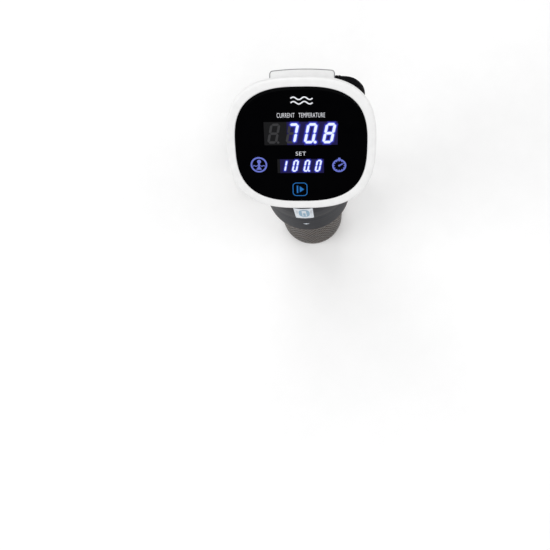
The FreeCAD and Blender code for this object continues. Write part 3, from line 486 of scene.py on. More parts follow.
class Print:
    """Collects flat outlines and makes one thin mesh of them."""

    def __init__(self, level=0.0, thick=0.03):
        self.low = GLASS_LEVEL + level
        self.high = self.low + thick
        self.points = []
        self.faces = []

    def shape(self, corners):
        """A filled outline, counter-clockwise."""
        base, count = len(self.points), len(corners)
        for level in (self.low, self.high):
            self.points += [on_face(x, y, level) for x, y in corners]
        self.faces.append(tuple(range(base + count, base + 2 * count)))
        self.faces.append(tuple(range(base, base + count))[::-1])
        for i in range(count):
            k = (i + 1) % count
            self.faces.append((base + i, base + k, base + count + k, base + count + i))

    def stroke(self, path, width):
        """A line of the given width through the points of a path."""
        for (x0, y0), (x1, y1) in zip(path, path[1:]):
            run = math.hypot(x1 - x0, y1 - y0)
            nx, ny = -(y1 - y0) / run * width / 2, (x1 - x0) / run * width / 2
            self.shape([(x0 - nx, y0 - ny), (x1 - nx, y1 - ny),
                        (x1 + nx, y1 + ny), (x0 + nx, y0 + ny)])

    def box(self, left, low, right, high):
        """A filled upright rectangle."""
        self.shape([(left, low), (right, low), (right, high), (left, high)])

    def disc(self, x, y, radius, count=28):
        """A filled circle."""
        turns = [2 * math.pi * i / count for i in range(count)]
        self.shape([(x + radius * math.cos(a), y + radius * math.sin(a)) for a in turns])

    def ring(self, x, y, radius, width, start=0.0, end=360.0, count=48):
        """A circular line, or part of one."""
        steps = [math.radians(start + (end - start) * i / count) for i in range(count + 1)]
        inner, outer = radius - width / 2, radius + width / 2
        for a, b in zip(steps, steps[1:]):
            self.shape([(x + r * math.cos(turn), y + r * math.sin(turn))
                        for r, turn in ((outer, a), (outer, b), (inner, b), (inner, a))])

    def made(self, name, slot, material):
        """The mesh object."""
        return piece(name, self.points, self.faces, material, smooth=False)


print("prints lie", -GLASS_LEVEL, "mm under the face's plane")

# %% [markdown]
# ### Seven-segment figures
# A figure is seven bars with pointed ends and a slant. Dark segments can still be made out
# in bright light, which is why the first figure looks like a ghost of an eight. The dark bars
# are drawn with a dim grey glow: painted light for the room light they give back.

# %% Draw a seven-segment figure
SEGMENTS = {"0": "abcdef", "1": "bc", "7": "abc", "8": "abcdefg", "": ""}
SLANT = math.tan(math.radians(11.5))


def segment_bars(x, y, width, height, bar, swell=0.0):
    """The seven bars of a figure whose lower left corner is at x, y, each grown by swell."""
    gap = bar * 0.08
    half, mid = bar / 2, height / 2
    left, right, low, high = half, width - half, half, height - half
    thick = half + swell

    def flat(level):
        a, b = left + gap - swell, right - gap + swell
        return [(a, level), (a + half, level - thick), (b - half, level - thick), (b, level),
                (b - half, level + thick), (a + half, level + thick)]

    def upright(across, bottom, top):
        a, b = bottom + gap - swell, top - gap + swell
        return [(across, a), (across + thick, a + half), (across + thick, b - half), (across, b),
                (across - thick, b - half), (across - thick, a + half)]

    bars = {"a": flat(high), "g": flat(mid), "d": flat(low),
            "b": upright(right, mid, high), "c": upright(right, low, mid),
            "f": upright(left, mid, high), "e": upright(left, low, mid)}
    return {key: [(x + px + py * SLANT, y + py) for px, py in shape]
            for key, shape in bars.items()}


BIG = dict(first=-24.4, pitch=13.2, y=2.3, width=7.3, height=15.2, bar=1.8)
SMALL = dict(first=-15.4, pitch=8.35, y=-19.8, width=3.8, height=9.2, bar=1.1)


def draw_figures(target, figures, wanted, size, swell=0.0):
    """Figures given as text, '.' after a figure for its point; wanted(figure, bar) picks."""
    x = size["first"]
    for text in figures:
        figure = text.rstrip(".")
        bars = segment_bars(x, size["y"], size["width"], size["height"], size["bar"], swell)
        for key, shape in bars.items():
            if wanted(figure, key):
                target.shape(shape)
        if text.endswith("."):
            target.disc(x + size["width"] + size["bar"] * 0.55, size["y"] + size["bar"] * 0.5,
                        size["bar"] * 0.55 + swell)
        x += size["pitch"]


print("figure heights:", BIG["height"], "and", SMALL["height"], "mm")

# %% [markdown]
# Light from a figure spreads behind the glass. A compositor glare would do it in a picture
# but not on the model, so the spread is built: the same bars, a little wider and dimmer,
# in three layers a few thousandths of a millimetre apart, on a dim blue window.

# %% Figures of the two displays
near_glow = glow("near_glow", (112, 128, 236), (132, 148, 244), 0.95)
mid_glow = glow("mid_glow", (52, 56, 178), (64, 70, 198), 0.95)
far_glow = glow("far_glow", (32, 30, 112), (42, 40, 136), 0.95)
window_glow = glow("window_glow", (22, 18, 62), (32, 26, 84), 0.9)
TOP_TEXT, LOW_TEXT = ["", "7", "0.", "8"], ["1", "0", "0.", "0"]


def is_lit(figure, key):
    """Bars that belong to the figure."""
    return key in SEGMENTS[figure]


def is_dark(figure, key):
    """Bars that don't."""
    return key not in SEGMENTS[figure]


LAYER = 0.004
windows = Print(thick=LAYER)
windows.box(-9.8, 1.1, 26.4, 18.6)
windows.box(-15.4, -20.9, 16.6, -9.9)
windows.made("display_windows", "display", window_glow)
# The dark ground beside the windows glows faintly: painted light for room light under the glass.
dull = Print(thick=LAYER)
dull.box(-26.2, 1.1, -9.8, 18.6)
dull.box(-17.4, -20.9, -15.4, -9.9)
dull.made("unlit_ground", "display", ground_painted_glow)
layers = [("far_halo", far_glow, 0.006, 1.35), ("mid_halo", mid_glow, 0.012, 0.75),
          ("near_halo", near_glow, 0.018, 0.28), ("lit_figures", lit, 0.024, 0.0)]
for name, material, level, swell in layers:
    layer = Print(level=level, thick=LAYER)
    draw_figures(layer, TOP_TEXT, is_lit, BIG, swell)
    draw_figures(layer, LOW_TEXT, is_lit, SMALL, swell * 0.7)
    layer.made(name, "display", material)
# The unlit bars are a dim grey glow, painted light standing in for room light on them.
ghosts = Print(level=0.009, thick=0.003)
draw_figures(ghosts, [""], is_dark, BIG)
draw_figures(ghosts, ["", "7"], lambda figure, key: figure == "7" and is_dark(figure, key), BIG)
ghosts.disc(BIG["first"] + 8.1, 3.1, 0.9)
ghost_plate = ghosts.made("unlit_figures", "display", unlit)
print("layers of light:", len(layers), "unlit bars:", len(ghost_plate.data.polygons) // 8)

# %% [markdown]
# ### Symbols
# Three pictures drawn from strokes: a thermometer over water in a circle, a stop-watch, and
# a start and pause key in a rounded square. A plain pair of waves stands at the top.

# %% The thermometer and the stop-watch
INK = dict(level=0.02, thick=0.02)
symbols = Print(**INK)
left_x, left_y = -31.0, -14.2
symbols.ring(left_x, left_y, 5.5, 1.2)
symbols.disc(left_x + 0.2, left_y + 2.5, 1.45, 20)
symbols.stroke([(left_x + 0.1, left_y + 2.2), (left_x, left_y - 3.4)], 1.5)
symbols.shape([(left_x - 2.2, left_y - 3.9), (left_x + 2.0, left_y - 3.9),
               (left_x + 0.7, left_y - 1.6), (left_x - 0.7, left_y - 1.6)])
for side in (-1, 1):
    wave = [(left_x + side * (0.9 + 0.5 * i), left_y - 0.9 + 0.42 * math.cos(i * 1.25))
            for i in range(8)]
    symbols.stroke(wave[::side], 0.6)
watch_x, watch_y = 27.7, -15.2
symbols.ring(watch_x, watch_y, 4.55, 1.15)
for hour in range(12):
    a = math.radians(30 * hour)
    symbols.stroke([(watch_x + 3.3 * math.cos(a), watch_y + 3.3 * math.sin(a)),
                    (watch_x + 4.1 * math.cos(a), watch_y + 4.1 * math.sin(a))], 0.7)
symbols.stroke([(watch_x - 0.3, watch_y - 0.2), (watch_x + 2.5, watch_y + 1.5)], 0.95)
symbols.disc(watch_x, watch_y, 0.75, 16)
symbols.shape([(watch_x - 1.0, watch_y + 5.1), (watch_x + 1.0, watch_y + 5.1),
               (watch_x + 0.8, watch_y + 6.2), (watch_x - 0.8, watch_y + 6.2)])
symbol_plate = symbols.made("touch_symbols", "display", blue_lamp)
print("symbols:", len(symbol_plate.data.polygons), "faces")

# %% [markdown]
# The start key is a square line with four quarter rings for corners, so that the line keeps
# its width all the way round. The emblem is two sine waves, one above the other.

# %% The start key and the waves
key = Print(**INK)
key_x, key_y, key_half, bend, line = -1.2, -34.2, 5.2, 2.6, 0.55
reach = key_half - bend
for quarter, (sx, sy) in enumerate(((1, 1), (-1, 1), (-1, -1), (1, -1))):
    key.ring(key_x + sx * reach, key_y + sy * reach, bend, line, 90 * quarter,
             90 * quarter + 90, 10)
for sx, sy in ((1, 0), (-1, 0), (0, 1), (0, -1)):
    cx, cy = key_x + sx * key_half, key_y + sy * key_half
    key.stroke([(cx - sy * reach, cy - sx * reach), (cx + sy * reach, cy + sx * reach)], line)
key.stroke([(key_x - 1.9, key_y - 3.0), (key_x - 1.9, key_y + 3.0)], 1.05)
key.shape([(key_x - 0.2, key_y - 2.5), (key_x + 3.0, key_y), (key_x - 0.2, key_y + 2.5)])
key.made("start_key", "display", cyan_lamp)
emblem = Print(level=0.02, thick=0.01)
for lift in (0.0, 3.2):
    emblem.stroke([(-6.6 + 0.96 * i, 32.6 + lift + math.sin(i * 0.785)) for i in range(17)], 0.9)
emblem.made("wave_emblem", "display", caption_white)
print("start key:", 2 * key_half, "mm across")

# %% [markdown]
# ### Captions
# Two generic captions name the displays. Blender's own letters are made into a mesh, so
# they ride on a body like any other piece.

# %% Captions above the displays
LETTER_SPACE, LETTER_THINNING = 1.1, -0.008


def caption(name, words, height, x, y, width):
    """Words centred at x, y on the face, stretched to a width."""
    letters = bpy.data.curves.new(name + "_letters", "FONT")
    letters.body = words
    letters.size = 1.0
    letters.align_x = "CENTER"
    letters.space_character = LETTER_SPACE
    letters.offset = LETTER_THINNING
    holder = linked(name + "_holder", letters)
    bpy.context.view_layer.update()
    flat = bpy.data.meshes.new_from_object(holder)
    all_x, all_y = [v.co.x for v in flat.vertices], [v.co.y for v in flat.vertices]
    low_x, high_x, low_y, high_y = min(all_x), max(all_x), min(all_y), max(all_y)
    across, up = width / (high_x - low_x), height / (high_y - low_y)
    points = [on_face(x + (v.co.x - (low_x + high_x) / 2) * across,
                      y + (v.co.y - (low_y + high_y) / 2) * up, GLASS_LEVEL + 0.04)
              for v in flat.vertices]
    faces = [tuple(f.vertices) for f in flat.polygons]
    bpy.data.objects.remove(holder)
    return piece(name, points, faces, caption_white, smooth=False)


captions = [caption("caption_upper", "CURRENT   TEMPERATURE", 3.4, 0.4, 23.5, 34.0),
            caption("caption_lower", "SET", 3.0, -0.1, -5.6, 7.4)]
print("captions:", [len(c.data.polygons) for c in captions])

# %% [markdown]
# ## The head
# Under the bezel the head narrows from the squarish rim to the round collar. It is moulded
# in two halves with a fine parting line. Straight lines from the collar's circle to the rim
# give the form. The wall is cut in two where the halves meet, and the corners of the cut
# faces are moved onto two planes a fifth of a millimetre apart, so the joint stays crisp.

# %% Head halves
SPLIT, HALF_GAP, HEAD_WALL = 8.0, 0.1, 2.4
UNDER_BEZEL, BEZEL_BACK = 0.9, -6.5
COLLAR_RADIUS, COLLAR_TOP = 39.5, 288.0


def head_row(inset, t, count=160):
    """One turn of the head's wall: t is 0 at the collar and 1 at the bezel."""
    row, r = [], COLLAR_RADIUS - inset
    for i, (x, y) in enumerate(outline(UNDER_BEZEL + inset, count)):
        a = 2 * math.pi * (i + 0.5) / count
        foot = polar(r, a, COLLAR_TOP)
        row.append((foot + (on_face(x, y, BEZEL_BACK) / MM - foot) * t) * MM)
    return row


def head_half(name, front):
    """The part of the head's wall on one side of the parting plane."""
    levels = [0.0, 0.02] + [i / 16 for i in range(1, 16)] + [0.985, 1.0]
    rows = [head_row(0.0, t) for t in levels]
    rows += [head_row(HEAD_WALL, t) for t in reversed(levels)]
    points, faces = swept(rows)
    edge = (SPLIT - HALF_GAP if front else SPLIT + HALF_GAP) * MM
    keep, left_out = [], set()
    for face in faces:
        middle = sum(points[i].y for i in face) / 4
        if (middle < edge) == front:
            keep.append(face)
        else:
            left_out.update(face)
    moved = list(points)
    for i in {i for face in keep for i in face} & left_out:
        moved[i] = Vector((moved[i].x, edge, moved[i].z))
    return moved, keep


front_points, front_faces = head_half("head_front", True)
head_front = piece("head_front", front_points, front_faces, white_shell)
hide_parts("head_front_shell")
print("front half of the head:", len(head_front.data.polygons), "faces")

# %% [markdown]
# The rear half carries the housing that the cord leaves from: a shallow box with rounded
# uprights, a rear face that bows outwards a little, and softened top and bottom edges. Its
# front end is buried in the head's wall.

# %% Rear half and the cord housing
POD_HALF, POD_REAR, POD_TOP, POD_BOTTOM = 24.0, 58.6, 322.0, 292.0
POD_BOW, POD_START, POD_CORNER = 1.15, 30.0, 2.5


def pod_outline(inset):
    """The housing's plan, open at the front, as a list of points from right to left."""
    half, rear, corner = POD_HALF - inset, POD_REAR - inset, POD_CORNER - inset * 0.8
    flat = half - corner
    out = [(half, POD_START + (rear - POD_BOW - corner - POD_START) * i / 6) for i in range(6)]
    for i in range(9):
        a = math.radians(90 * i / 8)
        out.append((flat + corner * math.cos(a), rear - POD_BOW - corner + corner * math.sin(a)))
    for i in range(1, 24):
        x = flat * (1 - i / 12)
        out.append((x, rear - POD_BOW * (x / flat) ** 2))
    return out + [(-x, y) for x, y in reversed(out[:15])]


def pod_shell():
    """Walls, floor and roof of the housing as one skin with soft edges."""
    ease = 1.3
    steps = [(0.0, ease)] + [(ease * (1 - math.cos(t)), ease * (1 - math.sin(t)))
                             for t in (math.radians(15 * k) for k in range(1, 7))]
    lower = [(POD_BOTTOM + rise, inset) for rise, inset in steps]
    upper = [(POD_TOP - rise, inset) for rise, inset in reversed(steps)]
    rows = [[Vector((x, y, level)) * MM for x, y in pod_outline(inset)]
            for level, inset in lower + upper]
    count = len(rows[0])
    points = [p for row in rows for p in row]
    faces = sheet(len(rows), count)
    for first, flip in ((0, True), ((len(rows) - 1) * count, False)):
        for i in range(count // 2):
            a, b = first + i, first + count - 1 - i
            quad = (a, a + 1, b - 1, b)
            if len(set(quad)) == 4:
                faces.append(quad[::-1] if flip else quad)
    return points, faces


print("housing stands out", round(POD_REAR - COLLAR_RADIUS, 1), "mm behind the collar")

# %% [markdown]
# A hairline of shade runs along the top edge, where the housing's lid meets its wall. A thin
# wire half sunk in the edge gives it.

# %% Make the rear half and its seam
seam_grey = finish("seam_shadow", (128, 128, 130), (150, 150, 152), (0.6, 0.7),
                   grain=1500, bump=0.02, gloss=0.1)
wire("housing_seam", [(x, y, POD_TOP - 0.55) for x, y in pod_outline(0.15)], 0.42,
     seam_grey, around=8)
rear_points, rear_faces = head_half("head_rear", False)
pod_points, pod_faces = pod_shell()
offset = len(rear_points)
head_rear = piece("head_rear", rear_points + pod_points,
                  rear_faces + [tuple(offset + i for i in face) for face in pod_faces],
                  white_shell)
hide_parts("head_rear_shell")
print("rear half of the head:", len(head_rear.data.polygons), "faces")

# %% [markdown]
# ## Finishes for the CAD pieces that stay
# The CAD solids that already have the right shape keep it. Each gets its finish, and a small
# bevel where its edges would look razor sharp.

# %% Dress the CAD pieces
BEVEL_ANGLE = 35


def dress(name, material, bevel=0.0):
    """Give a CAD piece its finish, and soften its edges with a modifier."""
    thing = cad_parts[name]
    thing.data.materials.clear()
    thing.data.materials.append(material)
    if bevel:
        soft = thing.modifiers.new("soft_edges", "BEVEL")
        soft.width = bevel * MM
        soft.segments = 2
        soft.limit_method = "ANGLE"
        soft.angle_limit = math.radians(BEVEL_ANGLE)
        soft.harden_normals = False
    return thing


KEPT = [
    (seal_rubber, {"face_gasket": 0, "flange_gasket": 0, "shaft_seal": 0.2}),
    (board_green, {"display_board": 0, "power_board": 0}),
    (smoked, {"temperature_display": 0.3, "set_display": 0.3, "icon_lamps": 0.3}),
    (black_part, {"buzzer": 0.4, "capacitors": 0.4}),
    (steel, {"board_screws": 0.2, "motor_case": 0.6, "motor_bearings": 0.2, "motor_screws": 0.2,
             "motor_rotor": 0.3, "pump_shaft": 0.2, "bearing_plate": 0.2, "pump_posts": 0.2,
             "heater_flange": 0.2, "heater_element": 0, "temperature_probe": 0.5,
             "level_probes": 0.3, "clamp_pin": 0.3, "clamp_screws": 0.3}),
    (ferrite, {"motor_magnets": 0.3}),
    (aluminium, {"motor_bracket": 0.3, "heat_sink": 0.2}),
    (brass, {"shaft_coupling": 0.3}),
    (grey_part, {"impeller": 0.3, "shaft_bush": 0.2, "relay": 0.5, "terminal_block": 0.4}),
    (dark_neck, {"lock_ring": 0.3, "lower_neck": 0.5}),
    (winding, {"transformer": 0.8}),
    (white_shell, {"clamp_bracket": 0.9, "clamp_lever": 1.7}),
    (pad_rubber, {"fixed_pad": 0.4, "jaw_pad": 0.4}),
    (dark_steel, {"bottom_cap": 0.3}),
    (label_film, {"collar_label": 0}),
]
for material, pieces in KEPT:
    for name, bevel in pieces.items():
        dress(name, material, bevel)
print("dressed", sum(len(pieces) for material, pieces in KEPT), "CAD pieces")

# %% [markdown]
# The clamp's spring is a coil round the pin with two short legs, drawn as wire.

# %% Clamp spring
PIVOT = Vector((0, 62.7, 190.0))
WIRE, COIL_TURNS, PER_TURN = 0.75, 6, 20
COIL_HALF, COIL_RADIUS = 5.2, 3.9
steps = COIL_TURNS * PER_TURN
spring_path = [(-COIL_HALF, -6.4, -3.6), (-COIL_HALF, -3.0, -3.9)]
for i in range(steps + 1):
    a = math.radians(-90 + 360 / PER_TURN * i)
    spring_path.append((-COIL_HALF + 2 * COIL_HALF * i / steps, COIL_RADIUS * math.cos(a),
                        COIL_RADIUS * math.sin(a)))
spring_path += [(COIL_HALF, 3.0, -3.9), (COIL_HALF, 8.0, -5.4)]
spring = wire("helical_spring", [PIVOT + Vector(p) for p in spring_path], WIRE,
              steel, around=10)
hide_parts("clamp_spring")
print("spring:", COIL_TURNS, "turns of", 2 * WIRE, "mm wire")

# %% [markdown]
# ## Collar and lower neck
# Turned dark metal. The CAD edges are sharp, which never catches light the way a real
# turned edge does, so the collar is turned again from a profile whose corners are eased.
# The neck keeps its CAD solid, for its bosses and screw holes, with a bevel on its edges.
# A dark ring fills the seam between the two, and a polished one rims the neck's lower edge.

# %% Collar, joint ring and rim
collar = turned("collar_turned", [
    (37.1, 234.0, 0.2), (COLLAR_RADIUS, 234.0, 0.6), (COLLAR_RADIUS, 288.0, 0.15), (36.2, 288.0, 0),
    (36.2, 293.0, 0.2), (35.1, 293.0, 0.2), (35.1, 285.0, 0), (37.1, 283.0, 0)],
    dark_collar)
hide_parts("collar")
joint_ring = turned("joint_ring", [
    (37.1, 233.05, 0), (39.15, 233.05, 0), (39.15, 233.95, 0), (37.1, 233.95, 0)],
    pad_rubber)
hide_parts("collar_seal")
turned("neck_rim", [
    (38.1, 159.9, 0.1), (38.92, 159.9, 0.2), (39.0, 162.6, 0.3), (38.1, 162.6, 0)],
    dark_steel)
print("collar:", len(collar.data.polygons), "faces")

# %% [markdown]
# ### Water mark
# A small white triangle that points down shows where the water may stand. It is a thin
# wedge set in the neck's skin, because a printed triangle would flicker against it.

# %% Water mark
mark_points = []
for depth in (39.0, 39.4):
    for across, level in ((-2.6, 203.4), (2.6, 203.4), (0.0, 200.2)):
        a = across / COLLAR_RADIUS
        mark_points.append(Vector((depth * math.sin(a), -depth * math.cos(a), level)) * MM)
arrow = piece("level_arrow", mark_points,
              [(3, 5, 4), (0, 1, 2), (0, 3, 4, 1), (1, 4, 5, 2), (2, 5, 3, 0)],
              label_film, smooth=False)
print("mark:", len(arrow.data.polygons), "faces")

# %% [markdown]
# ### Label
# A white film with a tall blue gauge, which shows how deep the stem may stand in water, and
# short grey marks beside it for small print. The film is a CAD piece. What is printed on it
# is laid round the collar in strips, a few hundredths of a millimetre apart.

# %% A helper for prints round the collar
LABEL_RADIUS = COLLAR_RADIUS + 0.27


def on_collar(x, z, lift):
    """Millimetres round the collar from its front, height, and distance off the film."""
    a = x / LABEL_RADIUS
    r = LABEL_RADIUS + lift
    return Vector((r * math.sin(a), -r * math.cos(a), z)) * MM


def collar_print(name, bands, lift, material, across=8):
    """Printed shapes, each given as rows of (left, right, height), as one thin piece."""
    points, faces = [], []
    for band in bands:
        faces += sheet(len(band), across + 1, first=len(points))
        for left, right, level in band:
            points += [on_collar(left + (right - left) * i / across, level, lift)
                       for i in range(across + 1)]
    return piece(name, points, faces, material)


print_blue = finish("print_blue", (86, 138, 168), (112, 160, 186), (0.35, 0.45), bump=0.03)
print_grey = finish("print_grey", (112, 118, 128), (138, 144, 152), (0.35, 0.45), bump=0.03)
print("label radius:", LABEL_RADIUS, "mm")

# %% [markdown]
# The gauge is a tall superellipse with a paler channel in it, and the channel holds a
# column of water. Each shape lies a little above the one before.

# %% Gauge and small print
GAUGE_LOW, GAUGE_HIGH, GAUGE_HALF, GAUGE_MIDDLE, GAUGE_POWER = 245.0, 279.0, 4.4, 0.2, 2.6


def upright(half, low, high):
    """A rectangle about the gauge's middle line, as two rows."""
    return [(GAUGE_MIDDLE - half, GAUGE_MIDDLE + half, level) for level in (low, high)]


gauge = []
for i in range(33):
    t = -math.cos(math.pi * i / 32)
    half = GAUGE_HALF * (1 - abs(t) ** GAUGE_POWER) ** (1 / GAUGE_POWER)
    level = (GAUGE_LOW + GAUGE_HIGH) / 2 + t * (GAUGE_HIGH - GAUGE_LOW) / 2
    gauge.append((GAUGE_MIDDLE - half, GAUGE_MIDDLE + half, level))
collar_print("label_gauge", [gauge], 0.03, print_blue)
collar_print("label_channel", [upright(1.7, 249.0, 275.0)], 0.06, label_film)
collar_print("label_water", [upright(1.0, 250.0, 264.0)], 0.09, print_blue)
small_print = []
for row in range(3):
    for side in (-1, 1):
        outer = 6.6 - 0.5 * (row % 2)
        left, right = sorted((GAUGE_MIDDLE + side * 5.0, GAUGE_MIDDLE + side * outer))
        small_print.append([(left, right, 262.0 + row * 5.0), (left, right, 263.6 + row * 5.0)])
collar_print("label_print", small_print, 0.05, print_grey, across=3)
print("small marks:", len(small_print))

# %% [markdown]
# ## Perforated skirt
# A thin steel tube with many small upright holes in staggered rows. Cutting a thousand
# holes with booleans is slow and leaves ragged faces, so the tube is built from
# cells: each is a patch with an eight-sided hole in it, and neighbours share their edges.

# %% Sizes of the skirt
SKIRT_OUT, SKIRT_IN = 33.2, 32.6
COLUMNS, ROWS = 54, 20
HOLE, HOLE_UP = 1.38, 2.3
FIRST_ROW, ROW_PITCH = 17.0, 7.1
SKIRT_LOW, SKIRT_HIGH = 12.0, 163.5
print("metal between two holes:", round(2 * math.pi * SKIRT_OUT / COLUMNS - 2 * HOLE, 2), "mm")

# %% [markdown]
# Each cell needs the corners it shares with its neighbours and eight points of its own. A
# dictionary remembers the shared ones, so the skin is closed and has no doubled points.

# %% Skirt
def perforated_tube():
    """Points and faces of the tube with its holes, in metres."""
    column = 2 * math.pi / COLUMNS
    points, faces, known = [], [], {}

    def new_point(angle, level, side):
        """Adds a point on the outside (side 0) or the inside (side 1) of the tube."""
        r = (SKIRT_OUT, SKIRT_IN)[side]
        points.append(polar(r, angle, level) * MM)
        return len(points) - 1

    def corner(half_columns, level, side):
        """A shared point; half_columns counts half cells round the tube."""
        place = (half_columns % (2 * COLUMNS), round(level, 4), side)
        if place not in known:
            known[place] = new_point(half_columns * column / 2, level, side)
        return known[place]

    def band(low, high):
        """A plain strip of the tube."""
        for side in (0, 1):
            for h in range(2 * COLUMNS):
                quad = (corner(h, low, side), corner(h + 1, low, side),
                        corner(h + 1, high, side), corner(h, high, side))
                faces.append(quad if side == 0 else quad[::-1])

    for row in range(ROWS):
        low = FIRST_ROW + row * ROW_PITCH
        middle, high = low + ROW_PITCH / 2, low + ROW_PITCH
        rim_of_cell = ((2, middle), (2, high), (1, high), (0, high),
                       (0, middle), (0, low), (1, low), (2, low))
        for cell in range(COLUMNS):
            h = 2 * cell + row % 2
            holes = []
            for side in (0, 1):
                edge = [corner(h + step, level, side) for step, level in rim_of_cell]
                turns = [math.radians(45 * k) for k in range(8)]
                hole = [new_point((h + 1) * column / 2 + HOLE * math.cos(turn) / SKIRT_OUT,
                                  middle + HOLE_UP * math.sin(turn), side) for turn in turns]
                for k in range(8):
                    quad = (edge[k], edge[(k + 1) % 8], hole[(k + 1) % 8], hole[k])
                    faces.append(quad if side == 0 else quad[::-1])
                holes.append(hole)
            outer, inner = holes
            faces.extend((outer[k], outer[k - 7], inner[k - 7], inner[k]) for k in range(8))
    band(SKIRT_LOW, FIRST_ROW)
    band(FIRST_ROW + ROWS * ROW_PITCH, SKIRT_HIGH)
    for level, flip in ((SKIRT_LOW, False), (SKIRT_HIGH, True)):
        for h in range(2 * COLUMNS):
            quad = (corner(h, level, 1), corner(h + 1, level, 1),
                    corner(h + 1, level, 0), corner(h, level, 0))
            faces.append(quad[::-1] if flip else quad)
    return points, faces


skirt_points, skirt_faces = perforated_tube()
skirt = piece("skirt_perforated", skirt_points, skirt_faces, dark_steel,
              body="skirt")
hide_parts("perforated_skirt")
print("holes in the skirt:", COLUMNS * ROWS)

# %% [markdown]
# ## The cord
# A mains cord is a length of something flexible. Its centre line is one NURBS curve whose
# control points are the route: out of the housing sideways, round and down behind the
# stem, along the table, five turns in a tied coil, and into the plug. A bevel gives it
# its thickness.

# %% Route of the cord
CORD_RADIUS = 3.3
ROUTE = [
    (28.5, 51.9, 314.4), (34.0, 51.9, 314.4), (39.8, 50.0, 312.0), (43.8, 47.4, 305.4),
    (43.9, 45.2, 294.2), (43.8, 42.0, 274.0), (45.4, 39.0, 236.0), (46.4, 38.2, 190.0),
    (46.2, 40.0, 138.0), (45.0, 44.5, 90.0), (43.8, 50.5, 50.0), (42.0, 59.5, 21.0),
    (39.0, 76.0, 6.2), (33.6, 97.0, 3.4)]
PLUG_LEAD = [(-17.6, 147.0, 10.0), (-43.0, 147.0, 11.5), (-59.8, 137.4, 15.5),
             (-69.4, 120.6, 18.5), (-69.4, 104.0, 18.5)]
COIL_AT = Vector((-10.0, 104.0, 0.0))


def coil_points(turns=5.22, per_turn=14):
    """Turns that lie beside each other, first below and inwards, then above and outwards."""
    points = []
    start, widest, narrowest, low, high = math.radians(5), 43.8, 30.6, 3.4, 10.0
    pitch = 2 * CORD_RADIUS
    for i in range(int(turns * per_turn) + 1):
        turn = i / per_turn
        if turn < 2:
            radius, level = widest - pitch * turn, low
        elif turn < 3:
            radius, level = narrowest, low + (high - low) * (turn - 2)
        else:
            radius, level = min(widest, narrowest + pitch * (turn - 3)), high
        a = start + 2 * math.pi * turn
        points.append(COIL_AT + polar(radius, a, level))
    return points


whole_route = [Vector(p) for p in ROUTE] + coil_points() + [Vector(p) for p in PLUG_LEAD]
print("cord control points:", len(whole_route))

# %% [markdown]
# ### From route to cord
# A cord could be a mesh tube, but a curve with a bevel keeps its centre line, which is what
# its length and its bends are measured on.

# %% Make the cord
def nurbs(name, points, radius, material, body="stem"):
    """A round cord along control points in millimetres."""
    curve = bpy.data.curves.new(name, "CURVE")
    curve.dimensions = "3D"
    spline = curve.splines.new("NURBS")
    spline.points.add(len(points) - 1)
    for target, point in zip(spline.points, points):
        target.co = (*(Vector(point) * MM), 1.0)
    spline.order_u = 3
    spline.use_endpoint_u = True
    spline.resolution_u = 6
    curve.bevel_depth = radius * MM
    curve.bevel_resolution = 6
    curve.use_fill_caps = True
    curve.materials.append(material)
    made = linked(name, curve)
    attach(made, body)
    return made


cord = nurbs("mains_cord", whole_route, CORD_RADIUS, black_rubber)
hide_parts("cord", "cord_coil")
print("cord bevel:", round(cord.data.bevel_depth / MM, 2), "mm")

# %% [markdown]
# ### Strain relief and plug
# Both are black rubber, moulded on the cord. Ribs let a moulding bend without a kink: a ring
# of full width, then a narrower neck, over and over. Both are turned from one profile.

# %% Strain relief
RIBS, PLUG_RIBS = 7, 3
relief_rings = [(0.0, 0, 0)]
for ring in range(RIBS):
    z, thick = 1.0 + ring * 3.0, 4.4 - ring * 0.09
    relief_rings += [(thick, z - 0.9, 0.3), (thick, z + 0.9, 0.3), (thick - 0.75, z + 1.1, 0.15),
                     (thick - 0.75, z + 1.9, 0.15)]
relief_rings += [(3.8, 20.1, 0.3), (3.8, 22.0, 0.6), (0.0, 22.0, 0)]
relief = turned("ribbed_relief", relief_rings, black_rubber, around=40,
                axis=(1, 0, 0), start=(6.5, 51.9, 314.4))
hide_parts("strain_relief")
print("ribs on the strain relief:", RIBS)

# %% [markdown]
# The plug has a flat front with two round brass pins, a waist for the fingers and three ribs
# of its own where the cord goes in.

# %% Plug and pins
plug_start = Vector((-69.4, 54.0, 18.5))
plug_profile = [(0.0, 0.0, 0), (18.5, 0.0, 1.4), (18.5, 14.5, 2.2), (16.2, 17.0, 1.5),
                (15.0, 24.0, 4), (15.0, 30.0, 3), (13.5, 35.0, 3), (7.0, 38.5, 2)]
for ring in range(PLUG_RIBS):
    z = 39.5 + ring * 3.2
    plug_profile += [(7.0, z, 0.3), (7.0, z + 1.7, 0.3), (5.6, z + 1.9, 0.2), (5.6, z + 3.0, 0.2)]
plug_profile += [(6.6, 49.2, 0.3), (6.6, 50.0, 0.4), (0.0, 50.0, 0)]
plug = turned("mains_plug", plug_profile, black_rubber, around=64,
              axis=(0, 1, 0), start=plug_start)
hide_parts("plug")
for side in (-9.5, 9.5):
    turned("plug_pin_%s" % ("left" if side < 0 else "right"),
                             [(0, -0.5, 0), (2.4, -0.5, 0), (2.4, 19.0, 1.3), (0, 19.0, 0)],
                             brass, around=32, axis=(0, -1, 0),
                             start=plug_start + Vector((side, 0, 0)))
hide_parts("plug_pins")
print("plug:", len(plug.data.polygons), "faces")

# %% [markdown]
# ### Tie
# A strap of hook-and-loop tape goes round all the turns at one place. It is a rounded
# rectangle in section, swept along the turns for its width, with a hollow middle.

# %% Tie
tie_angle = math.radians(40)
outward = Vector((math.cos(tie_angle), math.sin(tie_angle), 0))
sideways = Vector((-outward.y, outward.x, 0))


def tie_point(r, z, along):
    """Across the coil, height and along the turns, to a point."""
    return COIL_AT + outward * r + sideways * along + Vector((0, 0, z))


